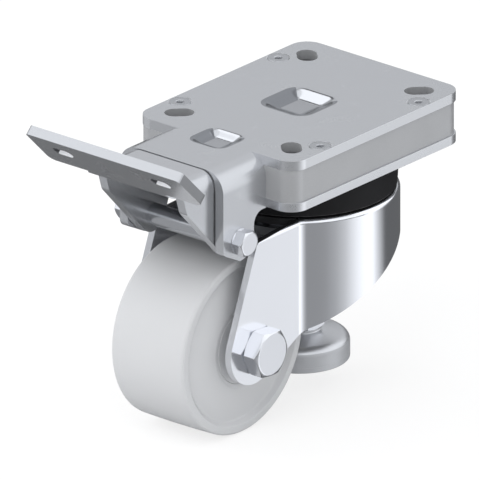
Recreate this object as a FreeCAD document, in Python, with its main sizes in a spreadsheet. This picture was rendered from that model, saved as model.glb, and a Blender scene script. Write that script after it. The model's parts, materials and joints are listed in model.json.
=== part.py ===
import FreeCAD, Part
import math
import os
import Sketcher

# Levelling castor: a swivel castor whose foot pedal pushes a levelling foot down inside the swivel bearing.
# Row axes: X runs across, along the wheel's axle. The pedal points to -Y, so forward is -Y. Z is up.
# The origin is the centre of the top plate's mounting face, on the swivel axis.
# Outlines are drawn as (across, forward), (across, depth) or (forward, depth), where depth is below
# the mounting face.

DIMENSIONS = {
    # Top plate, with its slots, screws and pressed dimples
    "plate_length": 140,
    "plate_width": 110,
    "plate_corner": 10.5,
    "plate_sheet": 5.5,
    "slot_pitch_length": 105,
    "slot_pitch_width": 77.5,
    "slot_width": 11,
    "slot_length": 16,
    "slot_turn": 45,
    "core_clearance": 0.6,
    "dimple_length": 37.5,
    "dimple_width": 37,
    "dimple_corner": 10,
    "dimple_depth": 3.2,
    "dimple_floor_length": 15,
    "dimple_floor_width": 14,
    "dimple_floor_corner": 1,
    "front_dimple_length": 26,
    "front_dimple_width": 27,
    "front_dimple_corner": 7.5,
    "front_dimple_depth": 2.8,
    "front_dimple_floor_length": 10,
    "front_dimple_floor_width": 11,
    "front_dimple_forward": 67.5,
    # Tongue that carries the pedal, folded down at both sides
    "tongue_width": 71.6,
    "tongue_front": 105,
    "tongue_bend": 12,
    "flange_drop": 29.5,
    "flange_relief": 7,
    "flange_boss": 11.5,
    "flange_toe_drop": 46.4,
    "flange_toe_round": 5,
    # Countersunk screws that hold the head together
    "screw_pitch_length": 80.8,
    "screw_pitch_width": 97,
    "screw_radius": 3,
    "screw_head_radius": 6,
    "screw_head_rim": 0.4,
    "screw_cone_angle": 45,
    "screw_chamfer": 0.6,
    "screw_socket": 4,
    "screw_socket_depth": 2.6,
    "screw_tail": 4.4,
    "screw_clearance": 0.3,
    "thread_clearance": 0.02,
    # Spacer block and bearing plate
    "block_inset": 1,
    "block_height": 18.6,
    "bearing_sheet": 5,
    # Swivel head, sized outwards from the hollow kingpin to the crown of the fork
    "crown_drop": 16.9,
    "dust_ring_overlap": 0.5,
    "dust_ring_taper": 1,
    "dust_ring_wall": 2.4,
    "dust_ring_lip": 2,
    "dust_ring_gap": 1,
    "dust_ring_round": 0.6,
    "dust_ring_fit": 0.1,
    "dust_ring_reach": 5,
    "race_gap": 5,
    "race_width": 12,
    "upper_ball_radius": 4,
    "upper_ball_seat": 0.8,
    "race_seat": 1.2,
    "upper_ball_count": 14,
    "lower_ball_radius": 3,
    "lower_ball_reach": 7,
    "lower_ball_seat": 0.3,
    "lower_ball_count": 12,
    "ball_clearance": 0.05,
    "kingpin_room": 1.8,
    "kingpin_wall": 3,
    "kingpin_collar_reach": 3,
    "kingpin_collar_height": 2.5,
    "kingpin_bottom": 80,
    "kingpin_web": 4,
    "kingpin_round": 4,
    "crown_clearance": 2,
    "retaining_ring_reach": 13,
    "retaining_ring_height": 4.6,
    "bush_radius": 13,
    "bush_flange_radius": 17,
    "bush_flange_height": 3,
    "bush_overhang": 8,
    "bush_clearance": 0.05,
    # Fork, pressed from one sheet
    "fork_sheet": 4,
    "fork_width": 71.6,
    "fork_crease_round": 8,
    "crown_front_setback": 2.2,
    "crown_rim_round": 2.5,
    "crown_mouth_round": 1.2,
    "fork_brow_forward": 44.7,
    "fork_shoulder_forward": 77,
    "fork_shoulder_drop": 1.9,
    "fork_shoulder_round": 3,
    "fork_tip_forward": 3.6,
    "fork_tip_rise": 1.2,
    "fork_tip_radius": 19.3,
    "fork_skirt_height": 27,
    "fork_skirt_turn": 31,
    "fork_skirt_round": 16,
    # Wheel and axle
    "axle_forward": 75.8,
    "axle_depth": 109,
    "wheel_radius": 50,
    "wheel_width": 49.5,
    "tread_crown": 0.4,
    "tread_edge": 1.5,
    "rim_inner_radius": 44.9,
    "dish_outer_radius": 42.4,
    "dish_depth": 2.8,
    "hub_radius": 23.5,
    "hub_width": 51,
    "hub_round": 0.8,
    "bearing_radius": 21,
    "bearing_width": 12,
    "bearing_shoulder": 18,
    "bearing_race_wall": 3.2,
    "bearing_ball_radius": 3.1,
    "bearing_ball_count": 8,
    "cap_recess": 2,
    "cap_gap": 0.1,
    "cap_clearance": 0.2,
    "axle_radius": 8,
    "axle_clearance": 0.1,
    "axle_tube_radius": 10,
    "axle_spacer_radius": 12.3,
    "axle_flats": 24,
    "axle_head_height": 9,
    "axle_washer_face": 0.5,
    "axle_washer_radius": 15,
    "axle_washer_sheet": 3,
    "axle_nut_height": 13,
    "axle_tail": 3,
    "press_clearance": 0.02,
    # Pedal lever, folded from one sheet, and its pivot
    "pivot_forward": 91.3,
    "pivot_depth": 42,
    "pivot_radius": 4,
    "pivot_clearance": 0.06,
    "pivot_flats": 13,
    "pivot_head_height": 5.3,
    "pivot_nut_height": 8,
    "pivot_tail": 2,
    "pivot_washer_radius": 7.2,
    "pivot_washer_sheet": 1.6,
    "thrust_washer_radius": 9,
    "thrust_washer_gap": 0.05,
    "pivot_tube_radius": 6,
    "lever_width": 59.2,
    "lever_sheet": 5.5,
    "lever_bend": 8.5,
    "lever_boss": 10,
    "lever_pin_boss": 8,
    "lever_rest_gap": 0.7,
    "lever_web_step": 0.4,
    "lever_heel_drop": 11,
    "lever_heel_round": 3,
    "lever_knee_forward": 127.3,
    "lever_knee_drop": 17.9,
    "lever_knee_round": 6,
    "lever_brow_forward": 131,
    "pedal_corner_forward": 138.4,
    "pedal_tilt": 45,
    "pedal_height": 34.5,
    "pedal_width": 105.5,
    "pedal_skirt": 4.9,
    "pedal_round": 4.5,
    "pedal_top_round": 2,
    "pedal_slot_length": 13,
    "pedal_slot_width": 7,
    "pedal_slot_across": 33.7,
    "pedal_slot_down": 12.5,
    # Drive from the pedal to the foot
    "pedal_travel": 50,
    "foot_stroke": 19,
    "drive_pin_radius": 4,
    "slide_clearance": 0.5,
    "strap_gap": 2.3,
    "strap_sheet": 3,
    "strap_width": 38,
    "strap_side_clearance": 0.3,
    "strap_under_clearance": 0.2,
    "lug_round": 7,
    "lug_clearance": 0.2,
    "wedge_width": 14,
    "wedge_tip": 0.5,
    "wedge_heel": 0.8,
    "wedge_overrun": 1.2,
    "wedge_screw_radius": 2,
    "wedge_screw_head": 3.8,
    "wedge_screw_length": 8,
    "wedge_screw_pitch": 8,
    "wedge_screw_back": 5,
    "roller_radius": 6,
    "roller_clearance": 0.02,
    "roller_pin_radius": 3,
    "roller_side_gap": 0.3,
    "ear_gap": 1,
    "ear_sheet": 4.5,
    "ear_relief": 0.5,
    "plunger_table": 8,
    "plunger_flange_radius": 15,
    "plunger_flange_height": 4,
    "plunger_radius": 10,
    "plunger_length": 64,
    "spring_wire": 3,
    "spring_radius": 13.2,
    "spring_turns": 5,
    "spring_gap": 0.1,
    # Levelling foot
    "spindle_radius": 8,
    "spindle_grip": 12,
    "spindle_chamfer": 1,
    "foot_top": 127,
    "foot_radius": 27,
    "foot_neck_radius": 11.4,
    "foot_neck_height": 1.5,
    "foot_neck_round": 1.6,
    "foot_rim_top": 131.9,
    "foot_rim_round": 5,
    "foot_plate_bottom": 141.8,
    "foot_pad_height": 3,
    "foot_pad_round": 0.8,
    "foot_socket_depth": 10,
    "foot_nut_flats": 24,
    "foot_nut_height": 13,
}


class Size:
    """A size with the cell formula that gives it, so that sketches and features follow the sheet."""

    def __init__(self, value, formula):
        self.value = float(value)
        self.formula = formula

    def joined(self, other, sign, value):
        other = as_size(other)
        return Size(value(self.value, other.value), f"({self.formula} {sign} {other.formula})")

    def __add__(self, other):
        return self.joined(other, "+", lambda a, b: a + b)

    def __sub__(self, other):
        return self.joined(other, "-", lambda a, b: a - b)

    def __mul__(self, other):
        return self.joined(other, "*", lambda a, b: a * b)

    def __truediv__(self, other):
        return self.joined(other, "/", lambda a, b: a / b)

    def __radd__(self, other):
        return as_size(other) + self

    def __rsub__(self, other):
        return as_size(other) - self

    def __rmul__(self, other):
        return as_size(other) * self

    def __neg__(self):
        return as_size(0) - self


def as_size(item):
    if isinstance(item, Size):
        return item
    return Size(item, f"{float(item):.6f}")


def sine(angle):
    return Size(math.sin(math.radians(angle.value)), f"sin({angle.formula})")


def cosine(angle):
    return Size(math.cos(math.radians(angle.value)), f"cos({angle.formula})")


def root(item):
    return Size(math.sqrt(item.value), f"sqrt({item.formula})")


class Cells:
    """The sheet's cells as sizes."""

    def __init__(self, doc, table):
        sheet = doc.addObject("Spreadsheet::Sheet", "Sheet")
        for row, (name, value) in enumerate(table.items(), start=1):
            sheet.set(f"A{row}", name)
            sheet.set(f"B{row}", str(value))
            sheet.setAlias(f"B{row}", name)
            setattr(self, name, Size(value, f"Sheet.{name}"))


doc = FreeCAD.newDocument("levelling_castor")
s = Cells(doc, DIMENSIONS)
doc.recompute()
pieces = []

# Levels and places that several pieces share
half_root_two = math.sqrt(0.5)
HEX_FACE = 0.483
HEX_CLEAR = 0.65
HEX_BEVEL = math.tan(math.radians(30))

# A dimple's wall: each line's share of the way in and of the way down, from its rim to its floor
DIMPLE_WALL = ((0, 0), (0.3, 0.14), (0.75, 0.86), (1, 1))

block_bottom = s.plate_sheet + s.block_height
bearing_bottom = block_bottom + s.bearing_sheet
crown_top = bearing_bottom + s.crown_drop
crown_bottom = crown_top + s.fork_sheet
upper_ball_depth = crown_top - s.upper_ball_radius + s.upper_ball_seat
race_bottom = upper_ball_depth + s.race_seat - s.upper_ball_radius
lower_ball_depth = crown_bottom + s.lower_ball_radius - s.lower_ball_seat
retaining_top = lower_ball_depth + s.lower_ball_radius - s.lower_ball_seat
bush_seat = s.kingpin_bottom - s.kingpin_web
bush_top = bush_seat - s.bush_flange_height
leg_outer = s.fork_width / 2
leg_inner = leg_outer - s.fork_sheet
flange_outer = s.tongue_width / 2
flange_inner = flange_outer - s.plate_sheet
lever_outer = s.lever_width / 2
lever_inner = lever_outer - s.lever_sheet
lever_rear = s.tongue_front + s.lever_rest_gap
strap_top = s.plate_sheet + s.dimple_depth + s.strap_gap
strap_bottom = strap_top + s.strap_sheet
half_travel = s.pedal_travel / 2
drive_arm = s.foot_stroke / (2 * sine(half_travel))
pin_forward = s.pivot_forward - drive_arm * sine(half_travel)
pin_depth = s.pivot_depth - drive_arm * cosine(half_travel)
pin_crest = s.pivot_depth - drive_arm
roller_reach = s.roller_radius + s.roller_clearance
roller_depth = strap_bottom + roller_reach
slope_start = roller_depth - roller_reach / half_root_two
wedge_bottom = roller_depth + s.foot_stroke - s.roller_radius * half_root_two + s.wedge_overrun
wedge_rear = slope_start - wedge_bottom - s.wedge_heel
kingpin_inner = root(wedge_rear * wedge_rear + s.wedge_width * s.wedge_width / 4) + s.kingpin_room
kingpin_radius = kingpin_inner + s.kingpin_wall
kingpin_collar = kingpin_radius + s.kingpin_collar_reach
lower_ball_circle = kingpin_radius + s.lower_ball_reach
race_inner = kingpin_radius + s.race_gap
race_outer = race_inner + s.race_width
upper_ball_circle = race_inner + s.race_width / 2
dust_ring_radius = race_outer + s.dust_ring_reach
dust_ring_foot = dust_ring_radius - s.dust_ring_taper
fork_radius = dust_ring_radius + s.dust_ring_overlap
crown_front_radius = fork_radius - s.crown_front_setback
ear_inner = s.wedge_width / 2 + s.ear_gap
ear_outer = ear_inner + s.ear_sheet
flange_top = roller_depth + s.plunger_table
flange_under = flange_top + s.plunger_flange_height
plunger_end = flange_under + s.plunger_length
foot_bottom = s.foot_plate_bottom + s.foot_pad_height

# Each view's plane, and the signs that turn its drawn directions into the plane's own
VIEWS = {
    "plan": ("XY_Plane", 1, -1),
    "front": ("XZ_Plane", 1, -1),
    "side": ("YZ_Plane", -1, -1),
    "axle": ("XZ_Plane", 1, 1),
}


def corner(x, y, radius=None):
    return ("corner", as_size(x), as_size(y), radius)


def boss(x, y, radius):
    return ("boss", as_size(x), as_size(y), radius)


def via(x, y):
    return ("via", as_size(x), as_size(y), None)


def new_body(label, forward=None, depth=None):
    """A body for one piece, moved forward and down to its place where it isn't drawn on the swivel axis."""
    body = doc.addObject("PartDesign::Body", label)
    body.Label = label
    if forward is not None:
        body.setExpression("Placement.Base.y", (-as_size(forward)).formula)
        body.setExpression("Placement.Base.z", (-as_size(depth)).formula)
    pieces.append(body)
    return body


def new_sketch(body, view, offset=None):
    """A sketch on one of the body's own planes, moved along that plane's normal."""
    plane_role = VIEWS[view][0]
    sketch = body.newObject("Sketcher::SketchObject", body.Name + "_outline")
    plane = [item for item in body.Origin.OriginFeatures if item.Role == plane_role][0]
    sketch.AttachmentSupport = [(plane, "")]
    sketch.MapMode = "FlatFace"
    if offset is not None:
        sketch.setExpression("AttachmentOffset.Base.z", as_size(offset).formula)
    sketch.addProperty("App::PropertyString", "View")
    sketch.View = view
    return sketch


def hold(sketch, geometry, point, x, y):
    """Ties a point of the sketch to its formulas, measured from the sketch's origin."""
    for kind, size in (("DistanceX", x), ("DistanceY", y)):
        index = sketch.addConstraint(Sketcher.Constraint(kind, -1, 1, geometry, point, size.value))
        sketch.setExpression(f"Constraints[{index}]", size.formula)


def hold_radius(sketch, geometry, radius):
    index = sketch.addConstraint(Sketcher.Constraint("Radius", geometry, radius.value))
    sketch.setExpression(f"Constraints[{index}]", radius.formula)


def hold_via(sketch, edge, x, y):
    """A construction point with its own formulas that an edge passes through."""
    point = sketch.addGeometry(Part.Point(FreeCAD.Vector(x.value, y.value, 0)), True)
    hold(sketch, point, 1, x, y)
    sketch.addConstraint(Sketcher.Constraint("PointOnObject", point, 1, edge))


def flat(x, y):
    return FreeCAD.Vector(x, y, 0)


def tangent_normal(start, start_radius, end, end_radius, turn):
    """Outward normal of the straight line that touches two bosses that are passed on the same side."""
    along = end - start
    length = along.Length
    along = along / length
    across = flat(along.y, -along.x) * turn
    lean = (start_radius - end_radius) / length
    return along * lean + across * math.sqrt(1 - lean * lean)


def arc_between(start, middle, end):
    """An arc, with the numbers of its point at the start and at the end: arcs always run anticlockwise."""
    arc = Part.Arc(start, middle, end)
    cross = (middle - start).cross(end - middle).z
    if cross > 0:
        return arc, 1, 2
    return arc, 2, 1


def outline(sketch, items):
    """A closed outline of corners, rounded corners, bosses with tangent sides, and arcs via a point."""
    x_sign, y_sign = VIEWS[sketch.View][1:]
    items = [(kind, x * x_sign, y * y_sign, radius) for kind, x, y, radius in items]
    nodes = [item for item in items if item[0] != "via"]
    vias = {}
    for index, item in enumerate(items):
        if item[0] == "via":
            vias[nodes.index(items[index - 1])] = item
    count = len(nodes)
    places = [flat(item[1].value, item[2].value) for item in nodes]
    area = sum(places[i].cross(places[(i + 1) % count]).z for i in range(count))
    if vias:
        route = [flat(item[1].value, item[2].value) for item in items]
        area = sum(route[i].cross(route[(i + 1) % len(route)]).z for i in range(len(route)))
    turn = 1 if area > 0 else -1
    starts = [None] * count
    ends = [None] * count
    for i in range(count):
        j = (i + 1) % count
        start_radius = nodes[i][3].value if nodes[i][0] == "boss" else 0
        end_radius = nodes[j][3].value if nodes[j][0] == "boss" else 0
        if i in vias:
            starts[i], ends[i] = places[i], places[j]
        else:
            normal = tangent_normal(places[i], start_radius, places[j], end_radius, turn)
            starts[i] = places[i] + normal * start_radius
            ends[i] = places[j] + normal * end_radius
    arcs = {}
    for j in range(count):
        i = (j - 1) % count
        kind, x, y, radius = nodes[j]
        if kind == "boss":
            out = (ends[i] - places[j]) + (starts[j] - places[j])
            if out.Length < 1e-6:
                out = ends[i] - starts[i]
            arcs[j] = places[j] - out / out.Length * -radius.value
        elif radius is not None:
            before = (starts[i] - places[j]) / (starts[i] - places[j]).Length
            after = (ends[j] - places[j]) / (ends[j] - places[j]).Length
            half = before.getAngle(after) / 2
            reach = radius.value / math.tan(half)
            middle = before + after
            centre = places[j] + middle / middle.Length * (radius.value / math.sin(half))
            ends[i] = places[j] + before * reach
            starts[j] = places[j] + after * reach
            arcs[j] = centre + (places[j] - centre) / (places[j] - centre).Length * radius.value
    edges = {}
    for i in range(count):
        if i in vias:
            arc, first, last = arc_between(starts[i], flat(vias[i][1].value, vias[i][2].value), ends[i])
            edges[i] = (sketch.addGeometry(arc), first, last)
            hold_via(sketch, edges[i][0], vias[i][1], vias[i][2])
        else:
            edges[i] = (sketch.addGeometry(Part.LineSegment(starts[i], ends[i])), 1, 2)
    for j in range(count):
        i = (j - 1) % count
        kind, x, y, radius = nodes[j]
        before, before_end = edges[i][0], edges[i][2]
        after, after_start = edges[j][0], edges[j][1]
        if radius is None:
            sketch.addConstraint(Sketcher.Constraint("Coincident", before, before_end, after, after_start))
            hold(sketch, after, after_start, x, y)
            continue
        arc, first, last = arc_between(ends[i], arcs[j], starts[j])
        bend = sketch.addGeometry(arc)
        sketch.addConstraint(Sketcher.Constraint("Tangent", before, before_end, bend, first))
        sketch.addConstraint(Sketcher.Constraint("Tangent", bend, last, after, after_start))
        hold_radius(sketch, bend, radius)
        if kind == "boss":
            hold(sketch, bend, 3, x, y)
        else:
            point = sketch.addGeometry(Part.Point(places[j]), True)
            hold(sketch, point, 1, x, y)
            sketch.addConstraint(Sketcher.Constraint("PointOnObject", point, 1, before))
            sketch.addConstraint(Sketcher.Constraint("PointOnObject", point, 1, after))


def circle(sketch, x, y, radius):
    x_sign, y_sign = VIEWS[sketch.View][1:]
    x, y, radius = as_size(x) * x_sign, as_size(y) * y_sign, as_size(radius)
    centre = flat(x.value, y.value)
    index = sketch.addGeometry(Part.Circle(centre, FreeCAD.Vector(0, 0, 1), radius.value))
    hold(sketch, index, 3, x, y)
    hold_radius(sketch, index, radius)


def slot(sketch, x, y, reach_x, reach_y, radius):
    """A slot with round ends, whose end centres lie at reach from its middle, on either side."""
    x_sign, y_sign = VIEWS[sketch.View][1:]
    x, y = as_size(x) * x_sign, as_size(y) * y_sign
    reach_x, reach_y = as_size(reach_x) * x_sign, as_size(reach_y) * y_sign
    low_x, low_y = x - reach_x, y - reach_y
    high_x, high_y = x + reach_x, y + reach_y
    low, high = flat(low_x.value, low_y.value), flat(high_x.value, high_y.value)
    along = (high - low) / (high - low).Length
    side = flat(-along.y, along.x) * radius.value
    end = along * radius.value
    left = sketch.addGeometry(Part.LineSegment(high + side, low + side))
    right = sketch.addGeometry(Part.LineSegment(low - side, high - side))
    low_arc = sketch.addGeometry(Part.Arc(low + side, low - end, low - side))
    high_arc = sketch.addGeometry(Part.Arc(high - side, high + end, high + side))
    for first, first_end, second, second_end in (
        (left, 2, low_arc, 1),
        (low_arc, 2, right, 1),
        (right, 2, high_arc, 1),
        (high_arc, 2, left, 1),
    ):
        sketch.addConstraint(Sketcher.Constraint("Tangent", first, first_end, second, second_end))
    hold(sketch, low_arc, 3, low_x, low_y)
    hold(sketch, high_arc, 3, high_x, high_y)
    hold_radius(sketch, low_arc, radius)


def hexagon(sketch, flats, upright=False):
    """A hexagon about the sketch's origin, with two flats level, or upright."""
    edge = flats * (1 / math.sqrt(3))
    half = flats / 2
    points = [
        (edge, as_size(0)),
        (edge / 2, half),
        (-edge / 2, half),
        (-edge, as_size(0)),
        (-edge / 2, -half),
        (edge / 2, -half),
    ]
    if upright:
        points = [(y, x) for x, y in points]
    outline(sketch, [corner(x, y) for x, y in points])


def feature(body, kind, sketch, length=None, middle=False, back=False, taper=None, taper_sign=1):
    """A pad or pocket of a sketch. With no length, a pocket goes right through."""
    item = body.newObject("PartDesign::" + kind, body.Name + "_" + kind.lower())
    item.Profile = sketch
    item.SideType = "Symmetric" if middle else "One side"
    if length is None:
        item.Type = "ThroughAll"
    else:
        item.setExpression("Length", as_size(length).formula)
    item.Reversed = back
    if taper is not None:
        item.setExpression("TaperAngle", (as_size(taper) * taper_sign).formula)
    sketch.Visibility = False
    return item


def pad(body, sketch, length, **options):
    return feature(body, "Pad", sketch, length, **options)


def pocket(body, sketch, length=None, **options):
    return feature(body, "Pocket", sketch, length, **options)


def turned(body, sketch, axis="V_Axis", kind="Revolution"):
    """A sketch turned full circle about one of its own axes: upright, or level for what sits on the axle."""
    item = body.newObject("PartDesign::" + kind, body.Name + "_turned")
    item.Profile = sketch
    item.ReferenceAxis = (sketch, [axis])
    item.Angle = 360
    return item


def grooved(body, sketch, axis="V_Axis"):
    return turned(body, sketch, axis, "Groove")


def rounded(body, radius, wanted):
    """A fillet on the edges of the body so far for which the test holds."""
    doc.recompute()
    base = body.Tip
    names = [f"Edge{i}" for i, edge in enumerate(base.Shape.Edges, start=1) if wanted(edge)]
    item = body.newObject("PartDesign::Fillet", body.Name + "_round")
    item.Base = (base, names)
    item.setExpression("Radius", as_size(radius).formula)
    return item


def tube(label, outer, inner, length, start, forward, depth):
    """A plain ring on an axle: two cylinders, one cut from the other, lying along the axle from its start."""
    solids = []
    for name, radius in (("outer", outer), ("hole", inner)):
        solid = doc.addObject("Part::Cylinder", f"{label}_{name}")
        solid.setExpression("Radius", as_size(radius).formula)
        solid.setExpression("Height", as_size(length).formula)
        solids.append(solid)
    ring = doc.addObject("Part::Cut", label)
    ring.Label = label
    ring.Base, ring.Tool = solids
    ring.Placement.Rotation = FreeCAD.Rotation(FreeCAD.Vector(0, 1, 0), 90)
    ring.setExpression("Placement.Base.x", as_size(start).formula)
    ring.setExpression("Placement.Base.y", (-as_size(forward)).formula)
    ring.setExpression("Placement.Base.z", (-as_size(depth)).formula)
    pieces.append(ring)
    return ring


def plate_outline(sketch, inset=0):
    """The plates' outline, or the block's, which is set back at the sides and the rear only."""
    half_width = s.plate_width / 2 - inset
    front = s.plate_length / 2
    rear = front - inset
    radius = s.plate_corner - inset
    outline(
        sketch,
        [
            corner(half_width, front, radius),
            corner(-half_width, front, radius),
            corner(-half_width, -rear, radius),
            corner(half_width, -rear, radius),
        ],
    )


def plate_slots(body, depth, clearance=0):
    """The four mounting slots, which point to the swivel axis's corners, cut from a level downwards."""
    sketch = new_sketch(body, "plan", -depth)
    reach = (s.slot_length - s.slot_width) / 2
    radius = s.slot_width / 2 + clearance
    for side in (1, -1):
        for end in (1, -1):
            slot(
                sketch,
                s.slot_pitch_width / 2 * side,
                s.slot_pitch_length / 2 * end,
                reach * sine(s.slot_turn) * side,
                reach * cosine(s.slot_turn) * end,
                radius,
            )
    pocket(body, sketch)


def screw_places():
    for side in (1, -1):
        for end in (1, -1):
            yield s.screw_pitch_width / 2 * side, s.screw_pitch_length / 2 * end


def screw_holes(body, depth, clearance):
    sketch = new_sketch(body, "plan", -depth)
    for across, forward in screw_places():
        circle(sketch, across, forward, s.screw_radius + clearance)
    pocket(body, sketch)


def dimple_outline(sketch, length, width, radius, forward):
    """A round-cornered outline, at some distance forward."""
    outline(
        sketch,
        [
            corner(width / 2, forward + length / 2, radius),
            corner(-width / 2, forward + length / 2, radius),
            corner(-width / 2, forward - length / 2, radius),
            corner(width / 2, forward - length / 2, radius),
        ],
    )


def dimples():
    """Each dimple's rim and floor as length, width and corner, then its depth and its place."""
    yield (
        (s.dimple_length, s.dimple_width, s.dimple_corner),
        (s.dimple_floor_length, s.dimple_floor_width, s.dimple_floor_corner),
        s.dimple_depth,
        as_size(0),
    )
    yield (
        (s.front_dimple_length, s.front_dimple_width, s.front_dimple_corner),
        (s.front_dimple_floor_length, s.front_dimple_floor_width, s.dimple_floor_corner),
        s.front_dimple_depth,
        s.front_dimple_forward,
    )


def press_dimples(body, kind, level):
    """One side of both dimples: walls that curve from a face of the sheet down to a flat floor."""
    for rim, floor, depth, forward in dimples():
        sections = []
        for inward, down in DIMPLE_WALL:
            sketch = new_sketch(body, "plan", -(level + depth * down))
            sizes = [outer + (inner - outer) * inward for outer, inner in zip(rim, floor)]
            dimple_outline(sketch, *sizes, forward)
            sketch.Visibility = False
            sections.append(sketch)
        wall = body.newObject("PartDesign::" + kind, body.Name + "_dimple")
        wall.Profile = sections[0]
        wall.Sections = sections[1:]


def make_top_plate():
    """One pressed sheet: plate, tongue folded down at both sides, dimples, slots and countersinks."""
    body = new_body("top_plate")
    sheet_outline = new_sketch(body, "plan", 0)
    plate_outline(sheet_outline)
    pad(body, sheet_outline, s.plate_sheet, back=True)
    tongue = new_sketch(body, "front", s.plate_length / 2)
    inner_bend = s.tongue_bend - s.plate_sheet
    foot = s.pivot_depth + s.flange_boss + s.flange_relief
    outline(
        tongue,
        [
            corner(-flange_outer, foot),
            corner(-flange_outer, 0, s.tongue_bend),
            corner(flange_outer, 0, s.tongue_bend),
            corner(flange_outer, foot),
            corner(flange_inner, foot),
            corner(flange_inner, s.plate_sheet, inner_bend),
            corner(-flange_inner, s.plate_sheet, inner_bend),
            corner(-flange_inner, foot),
        ],
    )
    pad(body, tongue, s.tongue_front - s.plate_length / 2)
    below = foot + s.flange_relief
    beyond = s.tongue_front + s.flange_relief
    waste = new_sketch(body, "side")
    outline(
        waste,
        [
            corner(s.plate_length / 2 - s.flange_relief, s.flange_drop),
            corner(s.pivot_forward - s.flange_boss, s.flange_drop, s.flange_relief),
            corner(s.pivot_forward - s.flange_boss, below),
            corner(s.plate_length / 2 - s.flange_relief, below),
        ],
    )
    pocket(body, waste, s.tongue_width * 2, middle=True)
    toe = new_sketch(body, "side")
    outline(
        toe,
        [
            corner(s.pivot_forward - s.flange_boss, s.pivot_depth),
            via(
                s.pivot_forward - s.flange_boss * half_root_two,
                s.pivot_depth + s.flange_boss * half_root_two,
            ),
            corner(s.pivot_forward, s.pivot_depth + s.flange_boss),
            corner(s.tongue_front, s.flange_toe_drop, s.flange_toe_round),
            corner(s.tongue_front, s.pivot_depth - s.flange_boss),
            corner(beyond, s.pivot_depth - s.flange_boss),
            corner(beyond, below),
            corner(s.pivot_forward - s.flange_boss, below),
        ],
    )
    pocket(body, toe, s.tongue_width * 2, middle=True)
    press_dimples(body, "AdditiveLoft", s.plate_sheet)
    press_dimples(body, "SubtractiveLoft", as_size(0))
    plate_slots(body, as_size(0))
    screw_holes(body, as_size(0), s.screw_clearance)
    sink_radius = s.screw_head_radius + s.screw_head_rim + s.press_clearance
    sinks = new_sketch(body, "plan", 0)
    for across, forward in screw_places():
        circle(sinks, across, forward, sink_radius)
    pocket(body, sinks, sink_radius - s.screw_radius, taper=s.screw_cone_angle, taper_sign=-1)
    pivot_hole = new_sketch(body, "side")
    circle(pivot_hole, s.pivot_forward, s.pivot_depth, s.pivot_radius + s.pivot_clearance)
    pocket(body, pivot_hole, s.tongue_width * 2, middle=True)


def profile(body, items, view="front"):
    """A piece turned from its half outline: about the swivel axis, or about the axle."""
    sketch = new_sketch(body, view)
    outline(sketch, items)
    turned(body, sketch, "V_Axis" if view == "front" else "H_Axis")


def ball_groove(body, reach, level, radius, view="front"):
    sketch = new_sketch(body, view)
    circle(sketch, reach, level, radius)
    grooved(body, sketch, "V_Axis" if view == "front" else "H_Axis")


def ring_section(inner, outer, top, bottom):
    return [corner(inner, top), corner(outer, top), corner(outer, bottom), corner(inner, bottom)]


def hole(body, view, x, y, radius, offset=None, length=None, back=False, middle=False):
    sketch = new_sketch(body, view, offset)
    circle(sketch, x, y, radius)
    pocket(body, sketch, length, back=back, middle=middle)


def make_spacer_block():
    """Cast block between the plates, cored for the mounting bolts, the drawbar and the wedge."""
    body = new_body("spacer_block")
    block = new_sketch(body, "plan", -s.plate_sheet)
    plate_outline(block, s.block_inset)
    pad(body, block, s.block_height, back=True)
    plate_slots(body, s.plate_sheet, s.core_clearance)
    screw_holes(body, s.plate_sheet, s.core_clearance)
    hole(body, "plan", 0, 0, kingpin_inner, -s.plate_sheet)
    half = s.strap_width / 2 + s.strap_side_clearance
    rear = wedge_rear - s.slide_clearance
    channel = new_sketch(body, "plan", -s.plate_sheet)
    outline(
        channel,
        [
            corner(half, s.plate_length / 2),
            corner(-half, s.plate_length / 2),
            corner(-half, rear),
            corner(half, rear),
        ],
    )
    pocket(body, channel, strap_bottom + s.strap_under_clearance - s.plate_sheet)


def make_bearing_plate():
    body = new_body("bearing_plate")
    sheet = new_sketch(body, "plan", -block_bottom)
    plate_outline(sheet)
    pad(body, sheet, s.bearing_sheet, back=True)
    plate_slots(body, block_bottom)
    screw_holes(body, block_bottom, s.thread_clearance)
    hole(body, "plan", 0, 0, kingpin_radius + s.press_clearance, -block_bottom)
    collar = kingpin_collar + s.press_clearance
    hole(body, "plan", 0, 0, collar, -block_bottom, s.kingpin_collar_height)


def make_plate_screws():
    """Four countersunk screws with a hexagon socket, tapped into the bearing plate."""
    end = bearing_bottom + s.screw_tail
    taper = s.screw_head_radius - s.screw_radius
    for number, (across, forward) in enumerate(screw_places(), start=1):
        body = new_body(f"plate_screw_{number}", forward, 0)
        body.setExpression("Placement.Base.x", across.formula)
        profile(
            body,
            [
                corner(0, 0),
                corner(s.screw_head_radius, 0),
                corner(s.screw_head_radius, s.screw_head_rim),
                corner(s.screw_radius, s.screw_head_rim + taper),
                corner(s.screw_radius, end - s.screw_chamfer),
                corner(s.screw_radius - s.screw_chamfer, end),
                corner(0, end),
            ],
        )
        socket = new_sketch(body, "plan", 0)
        hexagon(socket, s.screw_socket)
        pocket(body, socket, s.screw_socket_depth)


def make_dust_ring():
    """Black skirt round the swivel head, with a lip that centres it on the upper race."""
    body = new_body("dust_ring")
    foot = crown_top - s.dust_ring_gap
    inner = race_outer + s.dust_ring_fit
    profile(
        body,
        [
            corner(inner, bearing_bottom),
            corner(dust_ring_radius, bearing_bottom, s.dust_ring_round),
            corner(dust_ring_foot, foot, s.dust_ring_round),
            corner(dust_ring_foot - s.dust_ring_wall, foot),
            corner(dust_ring_radius - s.dust_ring_wall, bearing_bottom + s.dust_ring_lip),
            corner(inner, bearing_bottom + s.dust_ring_lip),
        ],
    )


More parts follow.
